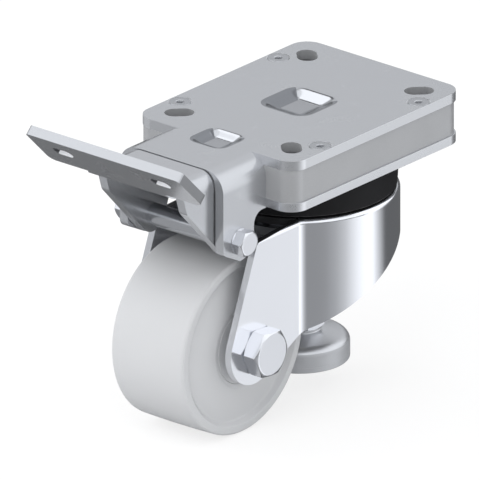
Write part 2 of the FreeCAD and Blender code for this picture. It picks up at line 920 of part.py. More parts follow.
def make_balls(label, radius, count, reach, level, axis):
    """A ring of balls: one ball, then its pattern about the swivel axis or the axle."""
    on_axle = axis == "X_Axis"
    body = new_body(label, s.axle_forward if on_axle else None, s.axle_depth if on_axle else None)
    body.AllowCompound = True
    ball = body.newObject("PartDesign::AdditiveSphere", label + "_ball")
    planes = {item.Role: item for item in body.Origin.OriginFeatures}
    ball.AttachmentSupport = [(planes["XZ_Plane"], "")]
    ball.MapMode = "FlatFace"
    ball.setExpression("Radius", radius.formula)
    ball.setExpression("AttachmentOffset.Base.x", as_size(reach).formula)
    ball.setExpression("AttachmentOffset.Base.y", as_size(level).formula)
    doc.recompute()
    ring = body.newObject("PartDesign::PolarPattern", label + "_ring")
    ring.Originals = [ball]
    ring.Axis = (planes[axis], [""])
    ring.Angle = 360
    ring.setExpression("Occurrences", count.formula)
    body.Tip = ring


def make_swivel_bearing():
    body = new_body("upper_race")
    profile(body, ring_section(race_inner, race_outer, bearing_bottom, race_bottom))
    ball_groove(body, upper_ball_circle, upper_ball_depth, s.upper_ball_radius + s.ball_clearance)
    make_balls(
        "upper_balls",
        s.upper_ball_radius,
        s.upper_ball_count,
        upper_ball_circle,
        -upper_ball_depth,
        "Z_Axis",
    )
    make_balls(
        "lower_balls",
        s.lower_ball_radius,
        s.lower_ball_count,
        lower_ball_circle,
        -lower_ball_depth,
        "Z_Axis",
    )
    ring = new_body("retaining_ring")
    inner = kingpin_radius + s.press_clearance
    outer = kingpin_radius + s.retaining_ring_reach
    ring_bottom = retaining_top + s.retaining_ring_height
    profile(ring, ring_section(inner, outer, retaining_top, ring_bottom))
    ball_groove(ring, lower_ball_circle, lower_ball_depth, s.lower_ball_radius + s.ball_clearance)


def make_kingpin():
    """Hollow kingpin: a cup hung by its collar in the bearing plate, with the foot's guide bush in it."""
    body = new_body("hollow_kingpin")
    collar_bottom = block_bottom + s.kingpin_collar_height
    bore = s.bush_radius + s.press_clearance
    profile(
        body,
        [
            corner(kingpin_inner, block_bottom),
            corner(kingpin_collar, block_bottom),
            corner(kingpin_collar, collar_bottom),
            corner(kingpin_radius, collar_bottom),
            corner(kingpin_radius, s.kingpin_bottom, s.kingpin_round),
            corner(bore, s.kingpin_bottom),
            corner(bore, bush_seat),
            corner(kingpin_inner, bush_seat, s.kingpin_round / 2),
        ],
    )
    bush = new_body("guide_bush")
    guide = s.plunger_radius + s.bush_clearance
    bush_end = s.kingpin_bottom + s.bush_overhang
    profile(
        bush,
        [
            corner(guide, bush_top),
            corner(s.bush_flange_radius, bush_top),
            corner(s.bush_flange_radius, bush_seat),
            corner(s.bush_radius, bush_seat),
            corner(s.bush_radius, bush_end),
            corner(guide, bush_end),
        ],
    )


def make_return_spring():
    """Open coil spring between the bush's flange and the plunger's."""
    body = new_body("return_spring")
    wire = s.spring_wire / 2
    section = new_sketch(body, "front")
    circle(section, s.spring_radius, bush_top - wire - s.spring_gap, wire)
    coil = body.newObject("PartDesign::AdditiveHelix", "return_spring_coil")
    coil.Profile = section
    coil.ReferenceAxis = (section, ["V_Axis"])
    coil.Mode = "height-turns-angle"
    coil.setExpression("Height", (bush_top - flange_under - 2 * (wire + s.spring_gap)).formula)
    coil.setExpression("Turns", s.spring_turns.formula)
    coil.Angle = 0


def hex_block(body, view, offset, flats, height, chamfer_ends, back=False, upright=False):
    """A hexagon of some height, with its corners turned off at the ends asked for."""
    sketch = new_sketch(body, view, offset)
    hexagon(sketch, flats, upright)
    pad(body, sketch, height, back=back)
    offset = as_size(offset)
    inside = flats * HEX_FACE
    outside = flats * HEX_CLEAR
    drop = (outside - inside) * HEX_BEVEL
    for end, sign in chamfer_ends:
        level = offset + height * (0 if end == "near" else 1) * (-1 if back else 1)
        cut = new_sketch(body, "axle" if view == "side" else "front")
        if view == "side":
            points = [(level, inside), (level, outside), (level - drop * sign, outside)]
        else:
            points = [(inside, -level), (outside, -level), (outside, drop * sign - level)]
        outline(cut, [corner(x, y) for x, y in points])
        grooved(body, cut, "H_Axis" if view == "side" else "V_Axis")


def make_pivot():
    """Pivot bolt, its washers and lock nut, and the thin washers beside the lever's arms."""
    bolt = new_body("pivot_bolt", s.pivot_forward, s.pivot_depth)
    seat = flange_outer + s.pivot_washer_sheet
    shank = new_sketch(bolt, "side", seat)
    circle(shank, 0, 0, s.pivot_radius)
    pad(bolt, shank, 2 * seat + s.pivot_nut_height + s.pivot_tail, back=True)
    hex_block(bolt, "side", seat, s.pivot_flats, s.pivot_head_height, [("far", 1)])
    nut = new_body("pivot_nut", s.pivot_forward, s.pivot_depth)
    hex_block(nut, "side", -seat, s.pivot_flats, s.pivot_nut_height, [("far", -1)], back=True)
    hole(nut, "side", 0, 0, s.pivot_radius + s.thread_clearance, length=4 * seat, middle=True)
    place = (s.pivot_forward, s.pivot_depth)
    clear = s.pivot_radius + s.pivot_clearance
    sheet = s.pivot_washer_sheet
    tube("pivot_washer_near", s.pivot_washer_radius, clear, sheet, flange_outer, *place)
    tube("pivot_washer_far", s.pivot_washer_radius, clear, sheet, -seat, *place)
    gap = s.thrust_washer_gap
    thin = flange_inner - lever_outer - 2 * gap
    tube("thrust_washer_near", s.thrust_washer_radius, clear, thin, lever_outer + gap, *place)
    tube("thrust_washer_far", s.thrust_washer_radius, clear, thin, gap - flange_inner, *place)
    tube("pivot_tube", s.pivot_tube_radius, clear, lever_inner * 2, -lever_inner, *place)


def make_pedal_lever():
    """Lever folded from one sheet: a web, an arm down each side, and the pedal plate turned up in front."""
    body = new_body("pedal_lever")
    web_under = s.lever_web_step + s.lever_sheet
    inner_bend = s.lever_bend - s.lever_sheet
    low = s.pivot_depth + s.lever_boss * 2
    start = pin_forward - s.lever_pin_boss * 2
    channel = new_sketch(body, "front", start)
    outline(
        channel,
        [
            corner(-lever_outer, low),
            corner(-lever_outer, s.lever_web_step, s.lever_bend),
            corner(lever_outer, s.lever_web_step, s.lever_bend),
            corner(lever_outer, low),
            corner(lever_inner, low),
            corner(lever_inner, web_under, inner_bend),
            corner(-lever_inner, web_under, inner_bend),
            corner(-lever_inner, low),
        ],
    )
    pad(body, channel, s.pedal_corner_forward + s.lever_bend - start)
    rim = new_sketch(body, "side")
    reach = s.lever_width
    above = s.lever_web_step - s.lever_boss
    outline(
        rim,
        [
            corner(start - s.lever_boss, above),
            corner(s.pedal_corner_forward + reach, above),
            corner(s.pedal_corner_forward + reach, low + s.lever_boss),
            corner(start - s.lever_boss, low + s.lever_boss),
        ],
    )
    outline(
        rim,
        [
            corner(lever_rear, above + s.lever_boss / 2),
            corner(lever_rear, s.lever_heel_drop, s.lever_heel_round),
            boss(pin_forward, pin_depth, s.lever_pin_boss),
            boss(s.pivot_forward, s.pivot_depth, s.lever_boss),
            corner(s.lever_knee_forward, s.lever_knee_drop, s.lever_knee_round),
            corner(s.lever_brow_forward, web_under),
            corner(s.pedal_corner_forward, web_under, s.lever_bend),
            corner(
                s.pedal_corner_forward + s.pedal_height * cosine(s.pedal_tilt),
                web_under - s.pedal_height * sine(s.pedal_tilt),
            ),
        ],
    )
    pocket(body, rim, s.lever_width * 2, middle=True)
    plate = new_sketch(body, "front")
    plate.AttachmentOffset.Rotation = FreeCAD.Rotation(FreeCAD.Vector(1, 0, 0), s.pedal_tilt.value)
    plate.setExpression("AttachmentOffset.Rotation.Angle", s.pedal_tilt.formula)
    plate.setExpression("AttachmentOffset.Base.y", (-web_under).formula)
    plate.setExpression("AttachmentOffset.Base.z", s.pedal_corner_forward.formula)
    half = s.pedal_width / 2
    outline(
        plate,
        [
            corner(half, -s.pedal_height, s.pedal_top_round),
            corner(-half, -s.pedal_height, s.pedal_top_round),
            corner(-half, -s.pedal_skirt, s.pedal_round),
            corner(half, -s.pedal_skirt, s.pedal_round),
        ],
    )
    reach = (s.pedal_slot_length - s.pedal_slot_width) / 2
    for side in (1, -1):
        slot(
            plate,
            s.pedal_slot_across * side,
            s.pedal_slot_down - s.pedal_height,
            reach,
            0,
            s.pedal_slot_width / 2,
        )
    pad(body, plate, s.lever_sheet, back=True)
    for forward, depth, radius in (
        (s.pivot_forward, s.pivot_depth, s.pivot_radius + s.pivot_clearance),
        (pin_forward, pin_depth, s.drive_pin_radius + s.press_clearance),
    ):
        hole(body, "side", forward, depth, radius, length=s.lever_width * 2, middle=True)
    pin = new_body("drive_pin", pin_forward, pin_depth)
    section = new_sketch(pin, "side")
    circle(section, 0, 0, s.drive_pin_radius)
    pad(pin, section, s.lever_width, middle=True)


def wedge_screw_places():
    for step in (0, 1):
        yield wedge_rear + s.wedge_screw_back + s.wedge_screw_pitch * step


def make_drawbar():
    """Drawbar: a strap with two slotted lugs that the drive pin moves, and the wedge under its rear."""
    body = new_body("drawbar")
    half = s.strap_width / 2
    strap = new_sketch(body, "plan", -strap_top)
    front = pin_forward + s.lug_round
    outline(
        strap,
        [
            corner(half, front),
            corner(-half, front),
            corner(-half, wedge_rear),
            corner(half, wedge_rear),
        ],
    )
    pad(body, strap, s.strap_sheet, back=True)
    for cut in (False, True):
        lug = new_sketch(body, "side")
        top = strap_bottom if cut else strap_top
        margin = as_size(s.slide_clearance if cut else 0)
        outline(
            lug,
            [
                corner(pin_forward + s.lug_round + margin, top),
                corner(pin_forward - s.lug_round - margin, top),
                boss(pin_forward, pin_depth, s.lug_round + margin),
            ],
        )
        if cut:
            pocket(body, lug, s.strap_width - 2 * s.strap_sheet, middle=True)
        else:
            pad(body, lug, s.strap_width, middle=True)
    race = new_sketch(body, "side")
    middle_depth = (pin_depth + pin_crest) / 2
    radius = s.drive_pin_radius + s.lug_clearance
    slot(race, pin_forward, middle_depth, 0, pin_depth - middle_depth, radius)
    pocket(body, race, s.strap_width * 2, middle=True)
    wedge = new_body("lifting_wedge")
    side = new_sketch(wedge, "side")
    tip = strap_bottom + s.wedge_tip
    outline(
        side,
        [
            corner(slope_start - tip, strap_bottom),
            corner(slope_start - tip, tip),
            corner(slope_start - wedge_bottom, wedge_bottom),
            corner(wedge_rear, wedge_bottom),
            corner(wedge_rear, strap_bottom),
        ],
    )
    pad(wedge, side, s.wedge_width, middle=True)
    screw_end = strap_top + s.wedge_screw_length
    for number, forward in enumerate(wedge_screw_places(), start=1):
        radius = s.wedge_screw_radius + s.thread_clearance
        hole(body, "plan", 0, forward, radius, -strap_top)
        depth = screw_end - strap_bottom + s.thread_clearance
        hole(wedge, "plan", 0, forward, radius, -strap_bottom, depth)
        sink = new_sketch(body, "plan", -strap_top)
        head = s.wedge_screw_head + s.press_clearance
        circle(sink, 0, forward, head)
        pocket(body, sink, head - s.wedge_screw_radius, taper=s.screw_cone_angle, taper_sign=-1)
        screw = new_body(f"wedge_screw_{number}", forward, 0)
        rise = s.wedge_screw_head - s.wedge_screw_radius
        profile(
            screw,
            [
                corner(0, strap_top),
                corner(s.wedge_screw_head, strap_top),
                corner(s.wedge_screw_radius, strap_top + rise),
                corner(s.wedge_screw_radius, screw_end),
                corner(0, screw_end),
            ],
        )


def make_plunger():
    """Plunger with a fork for the roller on top, a flange for the spring and a threaded socket below."""
    body = new_body("plunger")
    profile(
        body,
        [
            corner(0, flange_top),
            corner(s.plunger_flange_radius, flange_top),
            corner(s.plunger_flange_radius, flange_under),
            corner(s.plunger_radius, flange_under),
            corner(s.plunger_radius, plunger_end),
            corner(0, plunger_end),
        ],
    )
    ears = new_sketch(body, "side")
    ear_radius = s.roller_radius - s.ear_relief
    outline(
        ears,
        [
            corner(ear_radius, flange_under),
            corner(ear_radius, roller_depth),
            via(0, roller_depth - ear_radius),
            corner(-ear_radius, roller_depth),
            corner(-ear_radius, flange_under),
        ],
    )
    pad(body, ears, ear_outer * 2, middle=True)
    gap = new_sketch(body, "side")
    wide = s.roller_radius * 2
    outline(gap, ring_section(-wide, wide, roller_depth - wide, flange_top))
    pocket(body, gap, ear_inner * 2, middle=True)
    pin_radius = s.roller_pin_radius + s.press_clearance
    hole(body, "side", 0, roller_depth, pin_radius, length=ear_outer * 4, middle=True)
    thread = s.spindle_radius + s.thread_clearance
    hole(body, "plan", 0, 0, thread, -plunger_end, s.spindle_grip, back=True)
    length = 2 * (ear_inner - s.roller_side_gap)
    bore = s.roller_pin_radius + s.bush_clearance
    tube("thrust_roller", s.roller_radius, bore, length, -(length / 2), 0, roller_depth)
    pin = new_body("roller_pin", 0, roller_depth)
    section = new_sketch(pin, "side")
    circle(section, 0, 0, s.roller_pin_radius)
    pad(pin, section, ear_outer * 2, middle=True)


def make_foot():
    """Spindle, lock nut, foot plate and the pad under it."""
    spindle = new_body("spindle")
    top = plunger_end - s.spindle_grip + s.thread_clearance
    bottom = s.foot_top + s.foot_socket_depth
    thread = s.spindle_radius + s.thread_clearance
    profile(
        spindle,
        [
            corner(0, top),
            corner(s.spindle_radius - s.spindle_chamfer, top),
            corner(s.spindle_radius, top + s.spindle_chamfer),
            corner(s.spindle_radius, bottom),
            corner(0, bottom),
        ],
    )
    nut = new_body("lock_nut")
    ends = [("near", -1), ("far", 1)]
    hex_block(nut, "plan", -s.foot_top, s.foot_nut_flats, s.foot_nut_height, ends, upright=True)
    hole(nut, "plan", 0, 0, thread, -s.foot_top + s.foot_nut_height * 2)
    plate = new_body("foot_plate")
    profile(
        plate,
        [
            corner(0, bottom),
            corner(thread, bottom),
            corner(thread, s.foot_top),
            corner(s.foot_neck_radius, s.foot_top),
            corner(s.foot_neck_radius, s.foot_top + s.foot_neck_height, s.foot_neck_round),
            corner(s.foot_radius, s.foot_rim_top, s.foot_rim_round),
            corner(s.foot_radius, s.foot_plate_bottom),
            corner(0, s.foot_plate_bottom),
        ],
    )
    pad_body = new_body("foot_pad")
    profile(
        pad_body,
        [
            corner(0, s.foot_plate_bottom),
            corner(s.foot_radius, s.foot_plate_bottom),
            corner(s.foot_radius, foot_bottom, s.foot_pad_round),
            corner(0, foot_bottom),
        ],
    )


def make_fork():
    """Fork pressed from one sheet: a round crown whose skirt runs into two flat legs."""
    body = new_body("fork")
    front = s.axle_forward + fork_radius
    low = s.axle_depth + fork_radius

    def sheet_plan(sketch, radius, half, reach):
        crease = root(radius * radius - half * half)
        outline(
            sketch,
            [
                corner(half, reach),
                corner(half, crease),
                via(0, -radius),
                corner(-half, crease),
                corner(-half, reach),
            ],
        )

    def crease_at(radius, half):
        reach = math.sqrt(radius.value * radius.value - half.value * half.value)

        def crease(edge):
            box = edge.BoundBox
            upright = box.XLength + box.YLength < 0.01
            return upright and abs(abs(box.XMin) - half.value) + abs(box.YMin + reach) < 0.01

        return crease

    def crown_edge(least, most):
        def rim(edge):
            box = edge.BoundBox
            level = abs(box.ZMin + crown_top.value) + abs(box.ZMax + crown_top.value) < 0.01
            ends = min(abs(vertex.X) for vertex in edge.Vertexes)
            return level and box.YLength > 1 and least.value - 0.01 < ends < most.value + 0.01

        return rim

    outer = new_sketch(body, "plan", -crown_top)
    sheet_plan(outer, fork_radius, leg_outer, front)
    pad(body, outer, low - crown_top, back=True)
    rounded(body, s.fork_crease_round, crease_at(fork_radius, leg_outer))
    rounded(body, s.crown_rim_round, crown_edge(leg_outer, fork_radius))
    inner_radius = fork_radius - s.fork_sheet
    inner = new_sketch(body, "plan", -crown_bottom)
    sheet_plan(inner, inner_radius, leg_inner, front + s.fork_sheet)
    pocket(body, inner)
    rounded(body, s.fork_crease_round, crease_at(inner_radius, leg_inner))
    mouth = new_sketch(body, "plan", -crown_top)
    edge = root(crown_front_radius * crown_front_radius - leg_inner * leg_inner)
    outline(
        mouth,
        [
            corner(leg_inner, front + s.fork_sheet),
            corner(leg_inner, edge),
            via(0, crown_front_radius),
            corner(-leg_inner, edge),
            corner(-leg_inner, front + s.fork_sheet),
        ],
    )
    pocket(body, mouth)
    rounded(body, s.crown_mouth_round, crown_edge(leg_inner, leg_inner))
    waste = new_sketch(body, "side")
    beyond = fork_radius * 2
    skirt = crown_top + s.fork_skirt_height
    outline(
        waste,
        ring_section(-beyond, front + beyond, crown_top - beyond, low + beyond),
    )
    outline(
        waste,
        [
            corner(-beyond / 2 - s.fork_sheet, crown_top - s.fork_sheet),
            corner(s.fork_brow_forward, crown_top - s.fork_sheet),
            corner(s.fork_brow_forward, crown_top),
            corner(s.fork_shoulder_forward, crown_top + s.fork_shoulder_drop, s.fork_shoulder_round),
            boss(
                s.axle_forward + s.fork_tip_forward,
                s.axle_depth - s.fork_tip_rise,
                s.fork_tip_radius,
            ),
            corner(-s.fork_skirt_turn, skirt, s.fork_skirt_round),
            corner(-beyond / 2 - s.fork_sheet, skirt),
        ],
    )
    pocket(body, waste, s.fork_width * 2, middle=True)
    hole(body, "plan", 0, 0, kingpin_radius + s.crown_clearance, -crown_top)
    bore = s.axle_radius + s.axle_clearance
    hole(body, "side", s.axle_forward, s.axle_depth, bore, length=s.fork_width * 2, middle=True)
    ball_groove(body, upper_ball_circle, upper_ball_depth, s.upper_ball_radius + s.ball_clearance)
    ball_groove(body, lower_ball_circle, lower_ball_depth, s.lower_ball_radius + s.ball_clearance)


def side_label(name, side):
    return f"{name}_{'near' if side > 0 else 'far'}"


def make_wheel():
    """Wheel with a nearly flat tread, dished sides and a hub bored for two capped ball bearings."""
    body = new_body("wheel", s.axle_forward, s.axle_depth)
    half = s.wheel_width / 2
    hub = s.hub_width / 2
    face = half - s.dish_depth
    bearing_face = hub - s.cap_recess
    seat = bearing_face - s.bearing_width
    bore = s.bearing_radius + s.press_clearance
    edge = s.wheel_radius - s.tread_crown
    side = [
        (seat, s.bearing_shoulder, None),
        (seat, bore, None),
        (hub, bore, None),
        (hub, s.hub_radius, s.hub_round),
        (face, s.dish_outer_radius, s.hub_round),
        (half, s.rim_inner_radius, None),
        (half, edge, None),
    ]
    right = [corner(x, y, radius) for x, y, radius in side]
    left = [corner(-x, y, radius) for x, y, radius in reversed(side)]
    profile(body, right + [via(0, s.wheel_radius)] + left, "axle")
    tread_edge_radius = edge.value

    def tread_edge(item):
        box = item.BoundBox
        return abs(box.YLength / 2 - tread_edge_radius) < 0.01 and abs(box.XLength) < 0.01

    rounded(body, s.tread_edge, tread_edge)
    middle = bearing_face - s.bearing_width / 2
    race_inner = s.axle_tube_radius + s.press_clearance
    race_top = race_inner + s.bearing_race_wall
    outer_race_inner = s.bearing_radius - s.bearing_race_wall
    ball_circle = (race_top + outer_race_inner) / 2
    groove = s.bearing_ball_radius + s.ball_clearance
    place = (s.axle_forward, s.axle_depth)
    for sign in (1, -1):
        for name, low, high in (
            ("inner_race", race_inner, race_top),
            ("outer_race", outer_race_inner, s.bearing_radius),
        ):
            race = new_body(side_label(name, sign), *place)
            profile(race, ring_section(seat * sign, bearing_face * sign, low, high), "axle")
            ball_groove(race, middle * sign, ball_circle, groove, "axle")
        make_balls(
            side_label("bearing_balls", sign),
            s.bearing_ball_radius,
            s.bearing_ball_count,
            middle * sign,
            ball_circle,
            "X_Axis",
        )
        start = bearing_face + s.cap_gap if sign > 0 else -hub
        cap_bore = s.axle_spacer_radius + s.cap_clearance
        cap_sheet = s.cap_recess - s.cap_gap
        tube(side_label("bearing_seal", sign), s.bearing_radius, cap_bore, cap_sheet, start, *place)
        start = bearing_face if sign > 0 else -leg_inner
        spacer = side_label("axle_spacer", sign)
        tube(spacer, s.axle_spacer_radius, race_inner, leg_inner - bearing_face, start, *place)


def make_axle():
    """Axle bolt with a flanged head, the tube that the legs clamp, washer and nut."""
    place = (s.axle_forward, s.axle_depth)
    bolt = new_body("axle_bolt", *place)
    head = leg_outer + s.axle_washer_face
    nut_seat = leg_outer + s.axle_washer_sheet
    face = new_sketch(bolt, "side", leg_outer)
    circle(face, 0, 0, s.axle_flats * HEX_FACE)
    pad(bolt, face, s.axle_washer_face)
    shank = new_sketch(bolt, "side", head)
    circle(shank, 0, 0, s.axle_radius)
    pad(bolt, shank, head + nut_seat + s.axle_nut_height + s.axle_tail, back=True)
    hex_block(bolt, "side", head, s.axle_flats, s.axle_head_height, [("far", 1)])
    nut = new_body("axle_nut", *place)
    hex_block(nut, "side", -nut_seat, s.axle_flats, s.axle_nut_height, [("far", -1)], back=True)
    hole(nut, "side", 0, 0, s.axle_radius + s.thread_clearance, length=4 * nut_seat, middle=True)
    clear = s.axle_radius + s.axle_clearance
    tube("axle_washer", s.axle_washer_radius, clear, s.axle_washer_sheet, -nut_seat, *place)
    tube("axle_tube", s.axle_tube_radius, clear, leg_inner * 2, -leg_inner, *place)


make_top_plate()
make_spacer_block()
make_bearing_plate()
make_plate_screws()
make_dust_ring()
make_swivel_bearing()
make_kingpin()
make_return_spring()
make_pivot()
make_pedal_lever()
make_drawbar()
make_plunger()
make_foot()
make_fork()
make_wheel()
make_axle()

doc.recompute()
faults = []
for item in doc.Objects:
    if any(state in ("Invalid", "Error") for state in item.State):
        faults.append(f"{item.Name}: {item.State} {item.getStatusString()}")
    if item.TypeId in ("PartDesign::Pocket", "PartDesign::Groove", "PartDesign::SubtractiveLoft"):
        if item.Shape.Volume > item.BaseFeature.Shape.Volume - 1e-3:
            faults.append(f"{item.Name} cuts nothing")
for piece in pieces:
    if piece.Shape.isNull() or not piece.Shape.isValid():
        faults.append(f"{piece.Label}: no valid shape")
if faults:
    raise SystemExit("\n".join(faults))

os.makedirs("parts", exist_ok=True)
for piece in pieces:
    piece.Shape.exportStep(os.path.join("parts", piece.Label + ".step"))
    print(piece.Label, len(piece.Shape.Solids), round(piece.Shape.Volume, 1))
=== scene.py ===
import json
import math

import bmesh
import bpy
import numpy as np
from mathutils import Matrix, Vector

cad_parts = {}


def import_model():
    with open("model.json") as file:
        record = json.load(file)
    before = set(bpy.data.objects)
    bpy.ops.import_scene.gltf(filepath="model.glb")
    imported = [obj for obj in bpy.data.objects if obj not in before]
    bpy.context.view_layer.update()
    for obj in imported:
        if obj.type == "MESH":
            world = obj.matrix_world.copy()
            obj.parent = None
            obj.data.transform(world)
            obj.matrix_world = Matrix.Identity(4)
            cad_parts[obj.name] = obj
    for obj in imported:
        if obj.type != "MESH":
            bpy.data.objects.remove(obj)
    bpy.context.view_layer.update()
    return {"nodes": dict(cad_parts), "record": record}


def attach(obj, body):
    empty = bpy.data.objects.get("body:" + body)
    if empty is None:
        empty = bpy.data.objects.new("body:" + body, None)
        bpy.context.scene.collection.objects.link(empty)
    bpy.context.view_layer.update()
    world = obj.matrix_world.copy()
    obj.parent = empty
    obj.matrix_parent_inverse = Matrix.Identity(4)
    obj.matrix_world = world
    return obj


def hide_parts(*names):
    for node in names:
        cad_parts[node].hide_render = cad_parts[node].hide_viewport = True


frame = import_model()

bl_info = {
    "name": "Levelling castor",
    "version": (1, 0, 0),
    "blender": (4, 5, 0),
    "location": "3D View > Sidebar > Castor",
    "description": "Builds the finished surfaces and the studio for a levelling castor",
    "category": "Add Mesh",
}

# Sizes are in millimetres: across is X, forward is -Y and depth is -Z, from the centre of the mounting face.
# A level axis runs across at (forward, depth), and the spindle's upright one stands at (forward,).
AXLE = (75.8, 109.0)
PIVOT = (91.3, 42.0)
SPINDLE = (0.0,)
MM = 1000

# How many points go round a turned piece, by its size. The wheel's number is one at which none of its points
# lies lower than the lowest one of the solid.
LARGE_ROUND, MIDDLE_ROUND, SMALL_ROUND = 128, 96, 64
WHEEL_ROUND = 130

# Points nearer than this, in metres, become one: where grids meet, and in a solid's own triangles
SEAM, WELD = 2e-7, 2e-6


def metres(label, about, value, low=0.0, high=1.0):
    """A length that a user can set."""
    return bpy.props.FloatProperty(
        name=label, description=about, default=value, min=low, max=high,
        subtype="DISTANCE", unit="LENGTH", precision=5,
    )


def share(label, about, value, high=1.0):
    """A share or a level that a user can set."""
    return bpy.props.FloatProperty(
        name=label, description=about, default=value, min=0.0, max=high, subtype="FACTOR"
    )


def tint(label, about, value):
    """A colour that a user can set."""
    return bpy.props.FloatVectorProperty(
        name=label, description=about, default=value, size=3, min=0.0, max=1.0, subtype="COLOR"
    )


class CastorSizes(bpy.types.PropertyGroup):
    """Sizes of the finished pieces that a user would change"""

    wheel_radius: metres("Wheel radius", "From the axle to the middle of the tread", 0.05)
    tread_crown: metres("Tread crown", "How far the tread falls from its middle to its edge", 0.0004)
    tread_edge: metres("Tread edge", "Round between the tread and the wheel's side", 0.0015)
    plate_edge: metres("Plate edge", "Width of the broken edges of the plates and the lever", 0.00045)
    fork_edge: metres("Fork edge", "Width of the broken edges of the fork", 0.0004)
    block_edge: metres("Block edge", "Width of the broken edges of the cast block", 0.0007)
    foot_radius: metres("Foot radius", "From the spindle's axis to the foot's rim", 0.027)
    thread_pitch: metres("Thread pitch", "Pitch of the spindle's and the axle's threads", 0.002, low=0.0005)
    head_turn: bpy.props.FloatProperty(
        name="Axle head turn",
        description="How far the axle bolt's head is turned about the axle",
        default=math.radians(-4),
        subtype="ANGLE",
        unit="ROTATION",
    )


class CastorColours(bpy.types.PropertyGroup):
    """Colours and finishes of the castor's surfaces"""

    plate: tint("Zinc plate", "Plated sheet of the plates and the pedal lever", (0.60, 0.61, 0.63))
    fork: tint("Fork", "Bright plated sheet of the fork", (0.90, 0.91, 0.94))
    cast: tint("Cast zinc", "Satin cast metal of the block", (0.44, 0.445, 0.455))
    foot: tint("Foot", "Satin metal of the levelling foot's cone", (0.70, 0.71, 0.73))
    fastener: tint("Fasteners", "Plated bolts, nuts, washers and screws", (0.84, 0.85, 0.88))
    nylon: tint("Nylon", "White nylon of the wheel and its bearing caps", (0.585, 0.59, 0.60))
    skirt: tint("Skirt", "Black plastic of the skirt round the swivel head", (0.012, 0.012, 0.013))
    wear: share("Wear", "How bright the rubbed edges of the metal are", 0.5)
    relief: share("Relief", "Depth of the fine grain on all surfaces", 0.35)


class CastorStudio(bpy.types.PropertyGroup):
    """Floor, lights and camera"""

    floor_tone: share("Floor tone", "Brightness of the pale floor", 0.86)
    lamp_level: share("Lamp level", "Brightness of the lamps, where 1 is the plain level", 1.0, high=2.0)
    view_width: metres("View width", "Width of the picture at the castor", 0.254, low=0.05, high=2.0)


def world(across, forward, depth):
    """Row frame points, in metres, from places across, forward and below the mounting face."""
    return np.stack(np.broadcast_arrays(across, -np.asarray(forward), -np.asarray(depth)), -1) * 0.001


# An arc takes at most this share of a side. The point beside it is this share of its radius off, if that is
# more than the least that is worth a point. A corner this near to straight, in radians, gets no arc.
ARC_SHARE, BESIDE_SHARE, LEAST_BESIDE = 0.499, 0.35, 0.01
STRAIGHT = 1e-3


def soft_loop(corners, step=10.0):
    """A closed outline of (x, y, radius) corners, each an arc tangent to both its sides in steps of some
    degrees. One more point just before and after the arc makes what is flat shade flat too."""
    count = len(corners)
    points = []
    for i, (x, y, radius) in enumerate(corners):
        here = np.array((x, y), float)
        if radius <= 0:
            points.append(here)
            continue
        before = np.array(corners[i - 1][:2], float) - here
        after = np.array(corners[(i + 1) % count][:2], float) - here
        reach_before, reach_after = np.linalg.norm(before), np.linalg.norm(after)
        before, after = before / reach_before, after / reach_after
        half = math.acos(float(np.clip(before @ after, -1, 1))) / 2
        if half > math.pi / 2 - STRAIGHT:
            points.append(here)
            continue
        reach = min(radius / math.tan(half), reach_before * ARC_SHARE, reach_after * ARC_SHARE)
        radius = reach * math.tan(half)
        middle = (before + after) / np.linalg.norm(before + after)
        centre = here + middle * radius / math.sin(half)
        first, last = here + before * reach - centre, here + after * reach - centre
        sweep = math.pi - 2 * half
        turn = 1.0 if first[0] * last[1] - first[1] * last[0] > 0 else -1.0
        angles = np.linspace(0, sweep * turn, max(3, int(math.degrees(sweep) / step) + 1))
        arc = np.stack(
            [
                centre[0] + first[0] * np.cos(angles) - first[1] * np.sin(angles),
                centre[1] + first[0] * np.sin(angles) + first[1] * np.cos(angles),
            ],
            -1,
        )
        beside = min(radius * BESIDE_SHARE, (min(reach_before, reach_after) * 0.5 - reach) * 0.5)
        if beside > LEAST_BESIDE:
            points.append(here + before * (reach + beside))
        points.extend(arc)
        if beside > LEAST_BESIDE:
            points.append(here + after * (reach + beside))
    return np.array(points)


def grid_quads(index):
    """The corners of each cell of a grid of point numbers."""
    return np.stack([index[:-1, :-1], index[1:, :-1], index[1:, 1:], index[:-1, 1:]], -1).reshape(-1, 4)


def join_grids(name, grids):
    """One closed mesh from grids of points, each with (grid, closed along rows, closed along columns). Points
    that meet, as at a pole or a seam, become one, and the faces are turned outwards."""
    points, quads, start = [], [], 0
    for grid, rows_closed, columns_closed in grids:
        rows, columns = grid.shape[:2]
        index = np.arange(rows * columns).reshape(rows, columns) + start
        if rows_closed:
            index = np.vstack([index, index[:1]])
        if columns_closed:
            index = np.hstack([index, index[:, :1]])
        quads.append(grid_quads(index))
        points.append(grid.reshape(-1, 3))
        start += rows * columns
    points, quads = np.concatenate(points), np.concatenate(quads)
    mesh = bpy.data.meshes.new(name)
    mesh.vertices.add(len(points))
    mesh.vertices.foreach_set("co", points.astype(np.float32).ravel())
    mesh.loops.add(quads.size)
    mesh.loops.foreach_set("vertex_index", quads.astype(np.int32).ravel())
    mesh.polygons.add(len(quads))
    mesh.polygons.foreach_set("loop_start", np.arange(0, quads.size, 4, dtype=np.int32))
    mesh.update(calc_edges=True)
    shell = bmesh.new()
    shell.from_mesh(mesh)
    bmesh.ops.remove_doubles(shell, verts=shell.verts, dist=SEAM)
    bmesh.ops.recalc_face_normals(shell, faces=shell.faces)
    shell.to_mesh(mesh)
    shell.free()
    mesh.shade_smooth()
    mark_wear(mesh)
    thing = bpy.data.objects.new(name, mesh)
    bpy.context.scene.collection.objects.link(thing)
    return thing


# How far the surface bends at a point, as 1 less a cosine, times this is how much it is rubbed
WEAR_GAIN = 60


